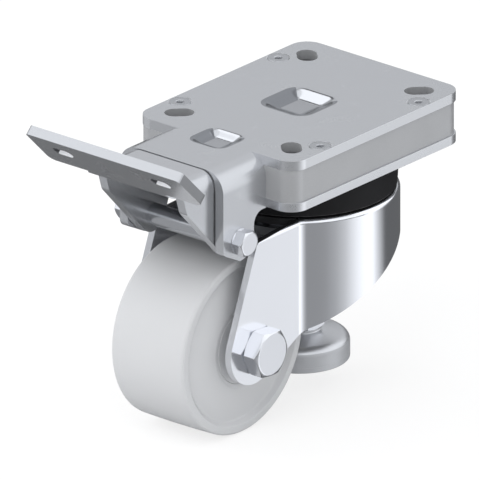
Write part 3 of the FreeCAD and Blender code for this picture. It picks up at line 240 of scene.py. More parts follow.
def mark_wear(mesh):
    """Stores how sharply the surface bends at each point, which is where handling rubs it bright."""
    corner_points = np.empty(len(mesh.loops), np.int32)
    mesh.loops.foreach_get("vertex_index", corner_points)
    sizes = np.empty(len(mesh.polygons), np.int32)
    mesh.polygons.foreach_get("loop_total", sizes)
    faces = np.empty(len(mesh.polygons) * 3, np.float32)
    mesh.polygons.foreach_get("normal", faces)
    around = np.empty(len(mesh.vertices) * 3, np.float32)
    mesh.vertices.foreach_get("normal", around)
    faces = np.repeat(faces.reshape(-1, 3), sizes, axis=0)
    bend = 1 - np.sum(faces * around.reshape(-1, 3)[corner_points], axis=1)
    rubbed = np.zeros(len(mesh.vertices), np.float32)
    np.maximum.at(rubbed, corner_points, bend.astype(np.float32))
    store = mesh.attributes.new("rubbed", "FLOAT", "POINT")
    store.data.foreach_set("value", np.clip(rubbed * WEAR_GAIN, 0, 1).astype(np.float32))


def turned_grid(outline, axis="upright", centre=SPINDLE, around=LARGE_ROUND):
    """Points of an outline of (radius, place along the axis) turned full circle: about an upright axis with
    the place as a depth, or about a level one with the place across."""
    angle = np.linspace(0, 2 * math.pi, around, endpoint=False)
    radius = outline[:, 0][None, :]
    along = outline[:, 1][None, :]
    c, s = np.cos(angle)[:, None], np.sin(angle)[:, None]
    if axis == "upright":
        return world(radius * c, centre[0] + radius * s, along + 0 * c), True, True
    return world(along + 0 * c, centre[0] + radius * c, centre[1] + radius * s), True, True


# Radius of the turned circle at a hexagon's end, as a share of its width over flats: an open end, and an end
# that lies on a leg and is only just relieved at its corners
TURNED, RELIEVED = 0.483, 0.4985


def hex_grid(flats, near, far, axis="level", centre=SPINDLE, ends=(TURNED, TURNED), bore=0.0, turn=0.0):
    """A hexagon of some width over flats whose corners are turned off by a 30 degree cone. Each row is the
    hexagon's outline drawn in towards the axis, and its height falls from the face by the cone beyond the
    face's circle, whose radius is a share of the flats at each end. An end without one is square."""
    reach = flats / math.sqrt(3)
    angles = np.radians(np.arange(6) * 60 + turn)
    loop = soft_loop([(reach * math.cos(a), reach * math.sin(a), flats * 0.02) for a in angles], step=30)
    dense = []
    for first, second in zip(loop, np.roll(loop, -1, axis=0)):
        pieces = max(1, int(np.linalg.norm(second - first) / (flats * 0.05)))
        dense.append(first + (second - first) * np.linspace(0, 1, pieces, endpoint=False)[:, None])
    loop = np.concatenate(dense)
    length = np.linalg.norm(loop, axis=1)
    way = loop / length[:, None]
    sign = 1.0 if far > near else -1.0
    slope = math.tan(math.radians(30))
    lip = 0.03

    def end_rows(level, inward, circle):
        flat = np.full(len(way), float(level))
        rows = [(way * bore, flat)]
        if not circle:
            rows.append((loop * 0.98, flat))
            return rows + [(loop, flat + inward * drop) for drop in (0, lip, 0.25)]
        face = flats * circle
        rows += [(way * (face - back), flat) for back in (0.9, 0.35)]
        rows.append((way * face, flat + inward * lip))
        for part in (0.35, 0.7, 1.0):
            radius = face + (length - face) * part
            rows.append((way * radius[:, None], level + inward * (lip + (radius - face) * slope)))
        side = level + inward * (lip + (length - face) * slope)
        return rows + [(loop, side + inward * drop) for drop in (0.12, 0.4)]

    rows = end_rows(near, sign, ends[0]) + end_rows(far, -sign, ends[1])[::-1]
    flat = np.stack([row[0] for row in rows])
    along = np.stack([row[1] for row in rows])
    if axis == "upright":
        grid = world(flat[..., 0], centre[0] + flat[..., 1], along)
    else:
        grid = world(along, centre[0] + flat[..., 0], centre[1] + flat[..., 1])
    return grid, bore > 0, True


def thread_grid(radius, pitch, start, end, axis="level", centre=SPINDLE, chamfer=1.0):
    """A threaded rod. The radius falls and rises once in each pitch, along a helix: its depth is a rounded
    triangle wave of the distance along the axis less the share of a turn."""
    depth = 0.6 * pitch
    rows_to_a_turn, around = 10, 72
    steepness, flat_crest = 1.25, 0.12
    low, high = min(start, end), max(start, end)
    rows = np.arange(low, high, pitch / rows_to_a_turn)
    rows = np.append(rows, high)
    angle = np.linspace(0, 2 * math.pi, around, endpoint=False)
    phase = (rows[:, None] / pitch - angle[None, :] / (2 * math.pi)) % 1.0
    wave = np.clip(np.abs(phase * 2 - 1) * steepness - flat_crest, 0, 1)
    inward = np.minimum(rows - low, high - rows)[:, None]
    fade = np.clip(chamfer - inward, 0, chamfer)
    reach = np.minimum(radius - depth * wave, radius - fade)
    reach = np.vstack([np.zeros((1, around)), reach, np.zeros((1, around))])
    rows = np.concatenate([[low], rows, [high]])[:, None] + 0 * reach
    if axis == "upright":
        grid = world(reach * np.cos(angle), centre[0] + reach * np.sin(angle), rows)
    else:
        grid = world(rows, centre[0] + reach * np.cos(angle), centre[1] + reach * np.sin(angle))
    return grid, False, True


# Where plate_screw_1 to plate_screw_4 stand: across and forward
PLATE_SCREWS = ((48.5, 40.4), (48.5, -40.4), (-48.5, 40.4), (-48.5, -40.4))


def socket_screw_grid(across, forward, socket=4.0, head=5.8, shank=3.0, end=29.0):
    """A countersunk screw as rows round its axis. A row's reach is a circle's or, in the socket, a hexagon's:
    half the flats over the cosine of the angle from the nearest flat's middle."""
    angle = np.linspace(0, 2 * math.pi, MIDDLE_ROUND, endpoint=False)
    hexagon = socket / 2 / np.cos((angle + math.pi / 6) % (math.pi / 3) - math.pi / 6)
    circle = np.ones_like(angle)
    cone = head - shank
    recess = ((0, 3.0), (0.9, 2.65), (1, 2.6), (1, 2.5), (1, 0.35), (1.12, 0.0), (1.2, 0.0))
    outside = (
        (head - 0.3, 0.0),
        (head - 0.1, 0.0),
        (head, 0.15),
        (head, 0.3),
        (head, 0.5),
        (shank + 0.2, cone + 0.4),
        (shank, cone + 0.8),
        (shank, end - 0.3),
        (shank, end),
        (0, end),
    )
    rows = [(hexagon * part, depth) for part, depth in recess]
    rows += [(circle * radius, depth) for radius, depth in outside]
    reach = np.stack([row[0] for row in rows])
    depth = np.array([row[1] for row in rows])[:, None]
    return world(across + reach * np.cos(angle), forward + reach * np.sin(angle), depth), False, True


def ring(inner, outer, top, bottom, edge=0.4):
    """Outline of a plain ring with its edges broken."""
    corners = [(inner, top, edge), (outer, top, edge), (outer, bottom, edge), (inner, bottom, edge)]
    return soft_loop(corners, step=30)


def stands_for(thing, body, slot_name, *nodes):
    """Ties a piece to its body and hides the nodes that it stands for. The slot's name is not used."""
    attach(thing, body)
    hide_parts(*nodes)
    return thing


# Each dimple: length, width and corner radius of its rim, the same of its floor, depth, place forward
DIMPLES = (
    (37.5, 37.0, 10.0, 15.0, 14.0, 1.0, 3.2, 0.0),
    (26.0, 27.0, 7.5, 10.0, 11.0, 1.0, 2.8, 67.5),
)

# The share of a dimple's wall that each of its two bends takes
BEND = 0.36

# Where a dressed copy keeps its finishes: rubbed edges, then a dimple's polished wall, its floor and its
# other walls; floor and other walls are darker as painted shade
RUBBED_SLOT, WALL_SLOT, FLOOR_SLOT, PAINTED_SHADE_SLOT = 1, 2, 3, 4
DIMPLE_LOOKS = ("pressed_zinc", "pressed_floor_zinc", "pressed_shade_zinc")


def dimple_wall(way_in):
    """How far down a pressed wall is at a share of its way in: straight, with a bend at rim and floor."""
    slope = 1 / (1 - BEND)
    falls = np.where(way_in < BEND, slope * way_in**2 / (2 * BEND), slope * (way_in - BEND / 2))
    return np.where(way_in > 1 - BEND, 1 - slope * (1 - way_in) ** 2 / (2 * BEND), falls)


def press_dimple(shell, length, width, corner, floor_length, floor_width, floor_corner, depth, forward):
    """Presses a dimple again with finely curved walls. Each point of the wall lies on a rounded rectangle
    whose sides and corner shrink evenly from rim to floor, and at the depth of the wall's profile."""
    rim = np.array((width, length)) / 2
    floor = np.array((floor_width, floor_length)) / 2
    spare, spare_depth = 0.01, 0.1
    facing_up, aside = 0.2, 0.6

    def inside(point):
        across, along = abs(point.x) * MM, abs(point.y * MM + forward)
        over = point.z * MM > -depth - spare_depth
        return across < rim[0] + spare and along < rim[1] + spare and over

    old = [
        face for face in shell.faces
        if face.normal.z > facing_up and all(inside(point.co) for point in face.verts)
    ]
    bmesh.ops.delete(shell, geom=old, context="FACES")
    borders = [line for line in shell.edges if line.is_boundary]
    edge = {point for line in borders for point in line.verts if inside(point.co)}
    loop = np.array([point.co[:2] for point in edge]) * MM + (0, forward)
    loop = loop[np.argsort(np.arctan2(loop[:, 1], loop[:, 0]))]
    centres = np.clip(loop, corner - rim, rim - corner)
    straight = centres / (rim - corner)
    way = (loop - centres) / corner
    bends = np.linspace(0, BEND, 9), np.linspace(1 - BEND, 1, 9)[1:]
    steps = np.concatenate([bends[0], np.linspace(BEND, 1 - BEND, 4)[1:], bends[1]])
    inward = steps[:, None, None]
    radius = corner + (floor_corner - corner) * inward
    flat = straight * (rim + (floor - rim) * inward - radius) + way * radius
    flat[0] = loop
    down = np.broadcast_to((depth * dimple_wall(steps))[:, None], flat.shape[:2])
    grid = world(flat[..., 0], forward - flat[..., 1], down)
    rows, columns = down.shape
    index = np.arange(rows * columns).reshape(rows, columns)
    index = np.hstack([index, index[:, :1]])
    quads = grid_quads(index)[:, [0, 3, 2, 1]]
    wall = bpy.data.meshes.new("dimple_wall")
    wall.from_pydata(grid.reshape(-1, 3), [], quads.tolist() + [index[-1, :-1].tolist()])
    # All walls but the rear one take a dark tone as painted shade, and the floor a tone darker than the
    # plate, painted shade too
    painted_shade_walls = (np.abs(way[:, 0]) > aside) | (way[:, 1] < -aside)
    shaded = np.where(painted_shade_walls & np.roll(painted_shade_walls, -1), PAINTED_SHADE_SLOT, WALL_SLOT)
    wall.polygons.foreach_set("material_index", np.append(np.tile(shaded, rows - 1), FLOOR_SLOT))
    shell.from_mesh(wall)
    bpy.data.meshes.remove(wall)
    bmesh.ops.remove_doubles(shell, verts=shell.verts, dist=WELD)


def leans(face, spare=0.05):
    """Whether a face lies along or square to the pedal plate, which leans 45 degrees."""
    return abs(face.normal.y + face.normal.z) < spare or abs(face.normal.y - face.normal.z) < spare


def within(*boxes, steep=0.8):
    """A test for the steep faces whose middle lies in one of some boxes, each a place across, forward and
    down with its reach each way."""

    def test(face):
        middle = face.calc_center_median() * MM
        place = np.array((middle.x, -middle.y, -middle.z))
        near = [np.all(np.abs(place - box[:3]) < box[3:]) for box in np.array(boxes, float)]
        return abs(face.normal.z) < steep and any(near)

    return test


def dressed_copy(node, body, slot_name, width, look, limit=32.0, dimples=(), cuts=()):
    """The node's own solid with its edges broken: its triangles are merged into flat faces, and a narrow
    round in the rubbed finish runs along each edge that is sharper than the limit. Its dimples are pressed
    again, and the faces that a cut's test picks take that cut's finish."""
    mesh = frame["nodes"][node].data.copy()
    mesh.name = node + "_dressed"
    shell = bmesh.new()
    shell.from_mesh(mesh)
    bmesh.ops.remove_doubles(shell, verts=shell.verts, dist=WELD)
    one_plane = 0.008
    bmesh.ops.dissolve_limit(shell, angle_limit=one_plane, verts=shell.verts, edges=shell.edges)
    for dimple in dimples:
        press_dimple(shell, *dimple)
    mesh.materials.clear()
    mesh.materials.append(finish(look))
    mesh.materials.append(finish(look, rubbed=True))
    shell.normal_update()
    for dimple_look in DIMPLE_LOOKS if dimples else ():
        mesh.materials.append(finish(dimple_look))
    for number, (test, cut_look) in enumerate(cuts, start=len(mesh.materials)):
        mesh.materials.append(finish(cut_look))
        for face in shell.faces:
            if face.material_index == 0 and test(face):
                face.material_index = number
    shell.to_mesh(mesh)
    shell.free()
    mesh.shade_smooth()
    thing = bpy.data.objects.new(node + "_dressed", mesh)
    bpy.context.scene.collection.objects.link(thing)
    bevel = thing.modifiers.new("Broken edges", "BEVEL")
    bevel.width = width
    bevel.segments = 3
    bevel.limit_method = "ANGLE"
    bevel.angle_limit = math.radians(limit)
    bevel.miter_outer = "MITER_ARC"
    bevel.harden_normals = False
    bevel.material = RUBBED_SLOT
    flat = flatten(thing)
    flat.mode = "FACE_AREA_WITH_ANGLE"
    flat.keep_sharp = True
    return stands_for(thing, body, slot_name, node)


def flatten(thing):
    """Makes the flat faces of a piece shade flat."""
    flat = thing.modifiers.new("Flat faces", "WEIGHTED_NORMAL")
    flat.weight = 80
    return flat


def surface(paint, metallic, roughness, grain, drift, relief, gloss=0.5):
    """A finish's values: its colour or the name of a colour that the user can set, how metallic and how rough
    it is, its grains to the metre, how far its tone drifts, the depth of its relief and its plain gloss."""
    return {
        "paint": paint,
        "metallic": metallic,
        "roughness": roughness,
        "grain": grain,
        "drift": drift,
        "relief": relief,
        "gloss": gloss,
    }


# Some finishes have the name of the slot whose solids wear them. The others are for single surfaces.
LOOKS = {
    "zinc_plate": surface("plate", 0.85, 0.25, 2600, 0.02, 0.06),
    # Painted light: a lighter tone on the long side faces of the plates stands in for light falling on them
    "trimmed_zinc": surface((0.76, 0.77, 0.79), 0.9, 0.3, 2600, 0.03, 0.08),
    "punched_zinc": surface((0.36, 0.365, 0.375), 0.2, 0.5, 2000, 0.05, 0.15),
    # Painted shade: the pedal's end faces take a dark tone that stands in for shade
    "sheared_zinc": surface((0.27, 0.275, 0.285), 0.6, 0.4, 2000, 0.05, 0.1),
    # Painted shade: the near-black ends of the pedal's slots stand in for shade
    "slot_end_zinc": surface((0.07, 0.07, 0.075), 0.6, 0.3, 2000, 0.05, 0.1),
    # Painted light: the matt white long walls of the pedal's slots stand in for light caught there
    "slot_side_zinc": surface((0.90, 0.91, 0.93), 0.0, 0.4, 2000, 0.02, 0.05),
    "pressed_zinc": surface("plate", 0.95, 0.15, 2600, 0.02, 0.02),
    # Painted shade: the dark tone of a dimple's walls, all but the rear one, stands in for shade
    "pressed_shade_zinc": surface((0.30, 0.31, 0.33), 0.95, 0.15, 2600, 0.02, 0.02),
    # Painted shade: a dimple's floor is darker than the plate to stand in for the shade in its hollow
    "pressed_floor_zinc": surface((0.46, 0.47, 0.49), 0.9, 0.2, 2600, 0.02, 0.04),
    "screw_zinc": surface((0.50, 0.51, 0.53), 0.9, 0.28, 2600, 0.03, 0.06),
    # Painted shade: a near-black tone on the crown's inside stands in for the shade it lies in
    "crown_shade": surface((0.02, 0.02, 0.022), 0.3, 0.6, 2000, 0.05, 0.05),
    "fork_zinc": surface("fork", 1.0, 0.16, 2600, 0.015, 0.05),
    "cast_zinc": surface("cast", 0.4, 0.4, 1700, 0.06, 0.30),
    "foot_zinc": surface("foot", 0.85, 0.36, 900, 0.01, 0.0),
    "foot_side_zinc": surface((0.53, 0.54, 0.56), 0.35, 0.42, 2200, 0.02, 0.03),
    "zinc_fastener": surface("fastener", 1.0, 0.22, 3200, 0.03, 0.05),
    "white_nylon": surface("nylon", 0.0, 0.48, 1800, 0.012, 0.10),
    "black_plastic": surface("skirt", 0.0, 0.6, 2600, 0.10, 0.10, gloss=0.15),
    "grey_plastic": surface((0.32, 0.33, 0.34), 0.0, 0.5, 2200, 0.05, 0.15),
    "plain_plastic": surface((0.5, 0.5, 0.48), 0.0, 0.5, 2200, 0.05, 0.15),
    "bearing_steel": surface((0.55, 0.56, 0.58), 1.0, 0.2, 2600, 0.03, 0.05),
    "bronze": surface((0.6, 0.42, 0.2), 1.0, 0.32, 2400, 0.05, 0.08),
}
MADE = {}


def finish(name, rubbed=False):
    """A finish by name, and its rubbed kind for the broken edges."""
    key = name + "_rubbed" if rubbed else name
    if key not in MADE:
        MADE[key] = material(key, rubbed=rubbed, **LOOKS[name])
    return MADE[key]


# Features to the metre of the slow cloud and of the patches where handling rubs
SLOW_CLOUD, RUBBED_PATCHES = 45.0, 260.0


def material(name, paint, metallic, roughness, grain, drift, relief, gloss, rubbed):
    """A surface whose tone and roughness drift with a slow cloud and a fine grain, and whose relief follows
    the grain. It turns brighter and smoother in patches along the edges that handling rubs."""
    colours = bpy.context.scene.castor_colours
    base = tuple(getattr(colours, paint)) if isinstance(paint, str) else paint
    skin = bpy.data.materials.new(name)
    skin.use_nodes = True
    tree = skin.node_tree
    link = tree.links.new
    shader = tree.nodes["Principled BSDF"]
    shader.inputs["Metallic"].default_value = metallic
    shader.inputs["Specular IOR Level"].default_value = gloss

    def node(kind, **values):
        item = tree.nodes.new("ShaderNode" + kind)
        for key, value in values.items():
            item.inputs[key.replace("_", " ")].default_value = value
        return item

    place = tree.nodes.new("ShaderNodeTexCoord").outputs["Object"]
    slow = node("TexNoise", Scale=SLOW_CLOUD, Detail=3.0)
    fine = node("TexNoise", Scale=float(grain), Detail=3.0)
    patch = node("TexNoise", Scale=RUBBED_PATCHES, Detail=4.0)
    for cloud in (slow, fine, patch):
        link(place, cloud.inputs["Vector"])
    mixed = node("Math")
    mixed.operation = "ADD"
    link(slow.outputs["Fac"], mixed.inputs[0])
    link(fine.outputs["Fac"], mixed.inputs[1])
    least, most = 0.6, 1.4
    tone = node("MapRange", From_Min=least, From_Max=most, To_Min=1 - drift, To_Max=1 + drift)
    link(mixed.outputs["Value"], tone.inputs["Value"])
    shade = tree.nodes.new("ShaderNodeVectorMath")
    shade.operation = "SCALE"
    shade.inputs[0].default_value = base
    link(tone.outputs["Result"], shade.inputs["Scale"])
    smoother, rougher = roughness * 0.85, roughness * 1.15
    rough = node("MapRange", From_Min=least, From_Max=most, To_Min=smoother, To_Max=rougher)
    link(mixed.outputs["Value"], rough.inputs["Value"])
    worn = node("MapRange", From_Min=0.35, From_Max=0.62, To_Min=0.25, To_Max=1.0)
    link(patch.outputs["Fac"], worn.inputs["Value"])
    amount = node("Math")
    amount.operation = "MULTIPLY"
    link(worn.outputs["Result"], amount.inputs[0])
    if rubbed:
        amount.inputs[1].default_value = colours.wear
    else:
        edge = tree.nodes.new("ShaderNodeAttribute")
        edge.attribute_name = "rubbed"
        scaled = node("Math")
        scaled.operation = "MULTIPLY"
        scaled.inputs[1].default_value = colours.wear
        link(edge.outputs["Fac"], scaled.inputs[0])
        link(scaled.outputs["Value"], amount.inputs[1])
    lift = 0.45 if metallic > 0.5 else 0.12
    bright = tree.nodes.new("ShaderNodeMix")
    bright.data_type = "RGBA"
    link(amount.outputs["Value"], bright.inputs["Factor"])
    link(shade.outputs["Vector"], bright.inputs["A"])
    bright.inputs["B"].default_value = tuple(c + (1 - c) * lift for c in base) + (1.0,)
    link(bright.outputs["Result"], shader.inputs["Base Color"])
    smooth = node("Math")
    smooth.operation = "MULTIPLY_ADD"
    smooth.inputs[1].default_value = -0.25 * roughness
    link(amount.outputs["Value"], smooth.inputs[0])
    link(rough.outputs["Result"], smooth.inputs[2])
    link(smooth.outputs["Value"], shader.inputs["Roughness"])
    bump = node("Bump", Strength=relief * colours.relief, Distance=0.0001)
    link(fine.outputs["Fac"], bump.inputs["Height"])
    link(bump.outputs["Normal"], shader.inputs["Normal"])
    return skin


def cover(thing, look):
    """Gives a piece one finish all over."""
    thing.data.materials.clear()
    thing.data.materials.append(finish(look))
    return thing


def piece(name, grids, body, slot_name, look, *nodes):
    """A piece from grids in one finish, whose flat faces shade flat."""
    thing = join_grids(name, grids)
    flatten(thing)
    stands_for(thing, body, slot_name, *nodes)
    return cover(thing, look)


class CASTOR_OT_carried(bpy.types.Operator):
    """Gives each solid that is shown as it is the finish of its own slot"""

    bl_idname = "castor.carried"
    bl_label = "Finish the solids"

    def execute(self, context):
        slots = {item["node"]: item["material_slot"] for item in frame["record"]["subparts"]}
        for name, node in frame["nodes"].items():
            cover(node, slots[name])
        return {"FINISHED"}


class CASTOR_OT_head(bpy.types.Operator):
    """Builds the plates, the block and the black skirt of the swivel head"""

    bl_idname = "castor.head"
    bl_label = "Swivel head"

    def execute(self, context):
        sizes = context.scene.castor_sizes
        plate_middle, bearing_plate_middle = 2.7, 26.6
        bolts_across, bolts_along = 38.75, 52.5
        slots = [
            (side * bolts_across, end * bolts_along, plate_middle, 9, 9, 3)
            for side in (-1, 1) for end in (-1, 1)
        ]
        dressed_copy(
            "top_plate", "housing", "zinc_plate", sizes.plate_edge, "zinc_plate",
            limit=50.0,
            dimples=DIMPLES,
            cuts=(
                (within(*slots), "punched_zinc"),
                # The long side faces take a lighter tone as painted light
                (within(*self.long_edges(plate_middle)), "trimmed_zinc"),
            ),
        )
        dressed_copy("spacer_block", "housing", "cast_zinc", sizes.block_edge, "cast_zinc")
        dressed_copy(
            "bearing_plate", "housing", "zinc_plate", sizes.plate_edge, "zinc_plate",
            # The long side faces take a lighter tone as painted light
            cuts=((within(*self.long_edges(bearing_plate_middle)), "trimmed_zinc"),),
        )
        skirt = soft_loop(
            [
                (48.13, 29.1, 0.2),
                (53.02, 29.1, 0.8),
                (52.02, 45, 0.6),
                (49.62, 45, 0.4),
                (50.62, 31.1, 0.3),
                (48.13, 31.1, 0.2),
            ],
            step=20,
        )
        for number, (across, forward) in enumerate(PLATE_SCREWS, start=1):
            piece(
                f"countersunk_screw_{number}", [socket_screw_grid(across, forward)],
                "housing", "zinc_fastener", "screw_zinc", f"plate_screw_{number}",
            )
        piece("skirt_ring", [turned_grid(skirt)], "housing", "black_plastic", "black_plastic", "dust_ring")
        return {"FINISHED"}

    @staticmethod
    def long_edges(depth):
        """The boxes round both long edges of a plate whose middle is at a depth."""
        return [(side * 54, 0, depth, 12, 75, 3) for side in (-1, 1)]


class CASTOR_OT_lever(bpy.types.Operator):
    """Builds the folded pedal lever"""

    bl_idname = "castor.lever"
    bl_label = "Pedal lever"

    def execute(self, context):
        edge = context.scene.castor_sizes.plate_edge
        by_ends = within(*self.boxes(51, 2.5))
        by_slots = within(*self.boxes(33.7, 7))

        # The pedal's end faces take a dark tone as painted shade
        def end(face):
            return abs(face.normal.x) > 0.3 and by_ends(face)

        # The slots' long walls are painted white as light
        def slot_side(face):
            return leans(face) and by_slots(face)

        # The slots' ends are painted near black as shade
        def slot_end(face):
            return abs(face.normal.x) > 0.6 and slot_side(face)

        dressed_copy(
            "pedal_lever", "pedal", "zinc_plate", edge, "zinc_plate",
            cuts=((end, "sheared_zinc"), (slot_end, "slot_end_zinc"), (slot_side, "slot_side_zinc")),
        )
        return {"FINISHED"}

    @staticmethod
    def boxes(across, reach):
        """The boxes of some reach across at both sides of the pedal plate."""
        return [(side * across, 150, 15, reach, 30, 30) for side in (-1, 1)]


class CASTOR_OT_fork(bpy.types.Operator):
    """Builds the pressed fork"""

    bl_idname = "castor.fork"
    bl_label = "Fork"

    def execute(self, context):
        edge = context.scene.castor_sizes.fork_edge
        by_front = within((0, 42, 45, 34, 16, 18))

        def in_crown(face):
            """The faces that look up and the front wall's inner side, which lie in the dark of the crown and
            are painted near black as shade.
            """
            return face.normal.z > 0.97 or (face.normal.y < -0.5 and by_front(face))

        dressed_copy("fork", "fork", "zinc_plate", edge, "fork_zinc", cuts=((in_crown, "crown_shade"),))
        return {"FINISHED"}


class CASTOR_OT_wheel(bpy.types.Operator):
    """Builds the nylon wheel with its shallow tread, and the caps and spacers beside its bearings"""

    bl_idname = "castor.wheel"
    bl_label = "Wheel"

    def execute(self, context):
        sizes = context.scene.castor_sizes
        radius, crown, edge = sizes.wheel_radius * MM, sizes.tread_crown * MM, sizes.tread_edge * MM
        half, hub, face = 24.75, 25.5, 21.95
        seat, seat_floor = 21.02, 11.5
        side = [
            (18, seat_floor, 0.4),
            (seat, seat_floor, 0),
            (seat, hub, 0.4),
            (23.5, hub, 0.8),
            (42.4, face, 1.6),
            (44.9, half, 0.9),
            (radius - crown, half, edge),
        ]
        spots = np.linspace(half - 2 * edge, 2 * edge - half, 15)
        tread = [(radius - crown * (x / half) ** 2, x, 0) for x in spots]
        loop = side + tread + [(r, -x, e) for r, x, e in reversed(side)]
        outline = soft_loop(loop, step=12)
        piece(
            "nylon_wheel", [turned_grid(outline, "level", AXLE, WHEEL_ROUND)],
            "wheel", "white_nylon", "white_nylon", "wheel",
        )
        for name, sign in (("near", 1), ("far", -1)):
            cap = ring(12.5, 21, 23.6 * sign, hub * sign, 0.35)
            piece(
                f"bearing_cap_{name}", [turned_grid(cap, "level", AXLE, MIDDLE_ROUND)],
                "wheel", "white_nylon", "white_nylon", f"bearing_seal_{name}",
            )
            sleeve = ring(10.02, 12.3, 23.5 * sign, 31.8 * sign, 0.3)
            piece(
                f"spacer_sleeve_{name}", [turned_grid(sleeve, "level", AXLE, MIDDLE_ROUND)],
                "fork", "bearing_steel", "zinc_fastener", f"axle_spacer_{name}",
            )
        return {"FINISHED"}


class CASTOR_OT_fasteners(bpy.types.Operator):
    """Builds the axle and pivot bolts with their nuts, washers and threads"""

    bl_idname = "castor.fasteners"
    bl_label = "Bolts"

    def execute(self, context):
        sizes = context.scene.castor_sizes
        pitch = sizes.thread_pitch * MM
        turn = math.degrees(sizes.head_turn)
        leg, head, washer, nut, thread = 35.8, 45.3, -38.8, -51.8, -54.8
        shank = soft_loop([(0, washer, 0), (8, washer, 0), (8, 36, 0), (0, 36, 0)])
        piece(
            "axle_screw",
            [
                hex_grid(24, leg + 0.02, head, "level", AXLE, (RELIEVED, TURNED), turn=turn),
                turned_grid(shank, "level", AXLE, MIDDLE_ROUND),
                thread_grid(8, pitch, thread, washer, "level", AXLE),
            ],
            "fork", "zinc_fastener", "zinc_fastener", "axle_bolt",
        )
        piece(
            "axle_lock_nut",
            [hex_grid(24, washer, nut, "level", AXLE, (None, TURNED), bore=8.02)],
            "fork", "zinc_fastener", "zinc_fastener", "axle_nut",
        )
        piece(
            "axle_plain_washer",
            [turned_grid(ring(8.1, 15, washer, -leg), "level", AXLE, MIDDLE_ROUND)],
            "fork", "zinc_plate", "zinc_fastener", "axle_washer",
        )
        head, head_washer, washer, nut, thread = 42.7, 36.1, -37.4, -45.4, -47.4
        shank = soft_loop([(0, washer, 0), (4, washer, 0), (4, -washer, 0), (0, -washer, 0)])
        piece(
            "pivot_screw",
            [
                hex_grid(13, head_washer, head, "level", PIVOT, (None, TURNED), turn=-6),
                turned_grid(shank, "level", PIVOT, SMALL_ROUND),
                thread_grid(4, 1.25, thread, washer, "level", PIVOT, chamfer=0.7),
            ],
            "housing", "zinc_fastener", "zinc_fastener", "pivot_bolt",
        )
        piece(
            "pivot_lock_nut",
            [hex_grid(13, washer, nut, "level", PIVOT, (None, TURNED), bore=4.02)],
            "housing", "zinc_fastener", "zinc_fastener", "pivot_nut",
        )
        for side, low, high in (("near", leg, head_washer), ("far", washer, -leg)):
            piece(
                f"pivot_plain_washer_{side}",
                [turned_grid(ring(4.06, 7.2, low, high, 0.1), "level", PIVOT, SMALL_ROUND)],
                "housing", "zinc_plate", "zinc_fastener", f"pivot_washer_{side}",
            )
        return {"FINISHED"}


class CASTOR_OT_foot(bpy.types.Operator):
    """Builds the levelling foot, its sole, nut and threaded spindle"""

    bl_idname = "castor.foot"
    bl_label = "Foot"

    def execute(self, context):
        sizes = context.scene.castor_sizes
        rim = sizes.foot_radius * MM
        stem, collar = 8.02, 11.4
        nut_top, cone, well, sole_top, ground = 114, 127, 137, 141.8, 144.8
        plate = soft_loop(
            [
                (0, well, 0),
                (stem, well, 0),
                (stem, cone, 0.2),
                (collar, cone, 0.3),
                (collar, 128.5, 1.6),
                (rim, 131.9, 5.0),
                (rim, sole_top, 0.1),
                (0, sole_top, 0),
            ],
        )
        disc = piece("foot_disc", [turned_grid(plate)], "foot", "cast_zinc", "foot_zinc", "foot_plate")
        self.dull_sides(disc.data)
        sole = soft_loop([(0, sole_top, 0), (rim, sole_top, 0.1), (rim, ground, 0.9), (0, ground, 0)])
        piece("foot_sole", [turned_grid(sole)], "foot", "grey_plastic", "foot_side_zinc", "foot_pad")
        piece(
            "foot_lock_nut", [hex_grid(24, nut_top, cone, "upright", SPINDLE, bore=stem, turn=30)],
            "foot", "zinc_fastener", "zinc_fastener", "lock_nut",
        )
        piece(
            "threaded_spindle", [thread_grid(8, sizes.thread_pitch * MM, 84.04, well, "upright")],
            "foot", "zinc_fastener", "zinc_fastener", "spindle",
        )
        return {"FINISHED"}

    @staticmethod
    def dull_sides(mesh, steepest=0.35):
        """Gives the upright faces of the foot's disc their duller finish."""
        mesh.materials.append(finish("foot_side_zinc"))
        normals = np.empty(len(mesh.polygons) * 3)
        mesh.polygons.foreach_get("normal", normals)
        upright = np.abs(normals.reshape(-1, 3)[:, 2]) < steepest
        mesh.polygons.foreach_set("material_index", upright.astype(np.int32))


def aim_way(azimuth, height):
    """A direction from degrees round from +X towards +Y and degrees above the horizon."""
    turn, rise = math.radians(azimuth), math.radians(height)
    return (math.cos(turn) * math.cos(rise), math.sin(turn) * math.cos(rise), math.sin(rise))


# Soft screens that the metal reflects. Each has a direction in degrees (round from +X towards +Y, and above
# the horizon), the angle from it that is wholly covered, the angle where it ends, and its level. A later
# screen covers an earlier one. Between them the room has a level of its own.
ROOM_LEVEL = 0.5
SCREENS = (
    ("side_screen", 20, -20, 50, 90, 1.2),
    ("front_shade", -45, -24, 8, 72, 0.30),
    ("back_shade", 108, -20, 38, 62, 0.13),
    ("high_side_screen", 66, 34, 24, 29, 1.2),
    ("overhead_screen", -130, 62, 34, 48, 1.15),
    ("front_screen", -12, 28, 20, 34, 1.1),
    ("rim_line_front", -22, -4, 5, 10, 0.15),
    ("rim_line_middle", -8, -4, 5, 10, 0.15),
    ("rim_line_side", 7, -4, 5, 10, 0.15),
    ("rim_line_rear", 22, -5, 5, 10, 0.15),
    ("front_upper_screen", -46, 34, 14, 26, 1.15),
    ("ground_shade", 0, -90, 30, 45, 0.09),
    ("bend_screen", 106, 37, 18, 24, 0.78),
    ("back_screen", 130, 22, 12, 17, 0.70),
    ("dimple_line", 141, 36, 5, 9, 0.05),
    ("dimple_screen", 159, 50, 12, 17, 1.6),
)


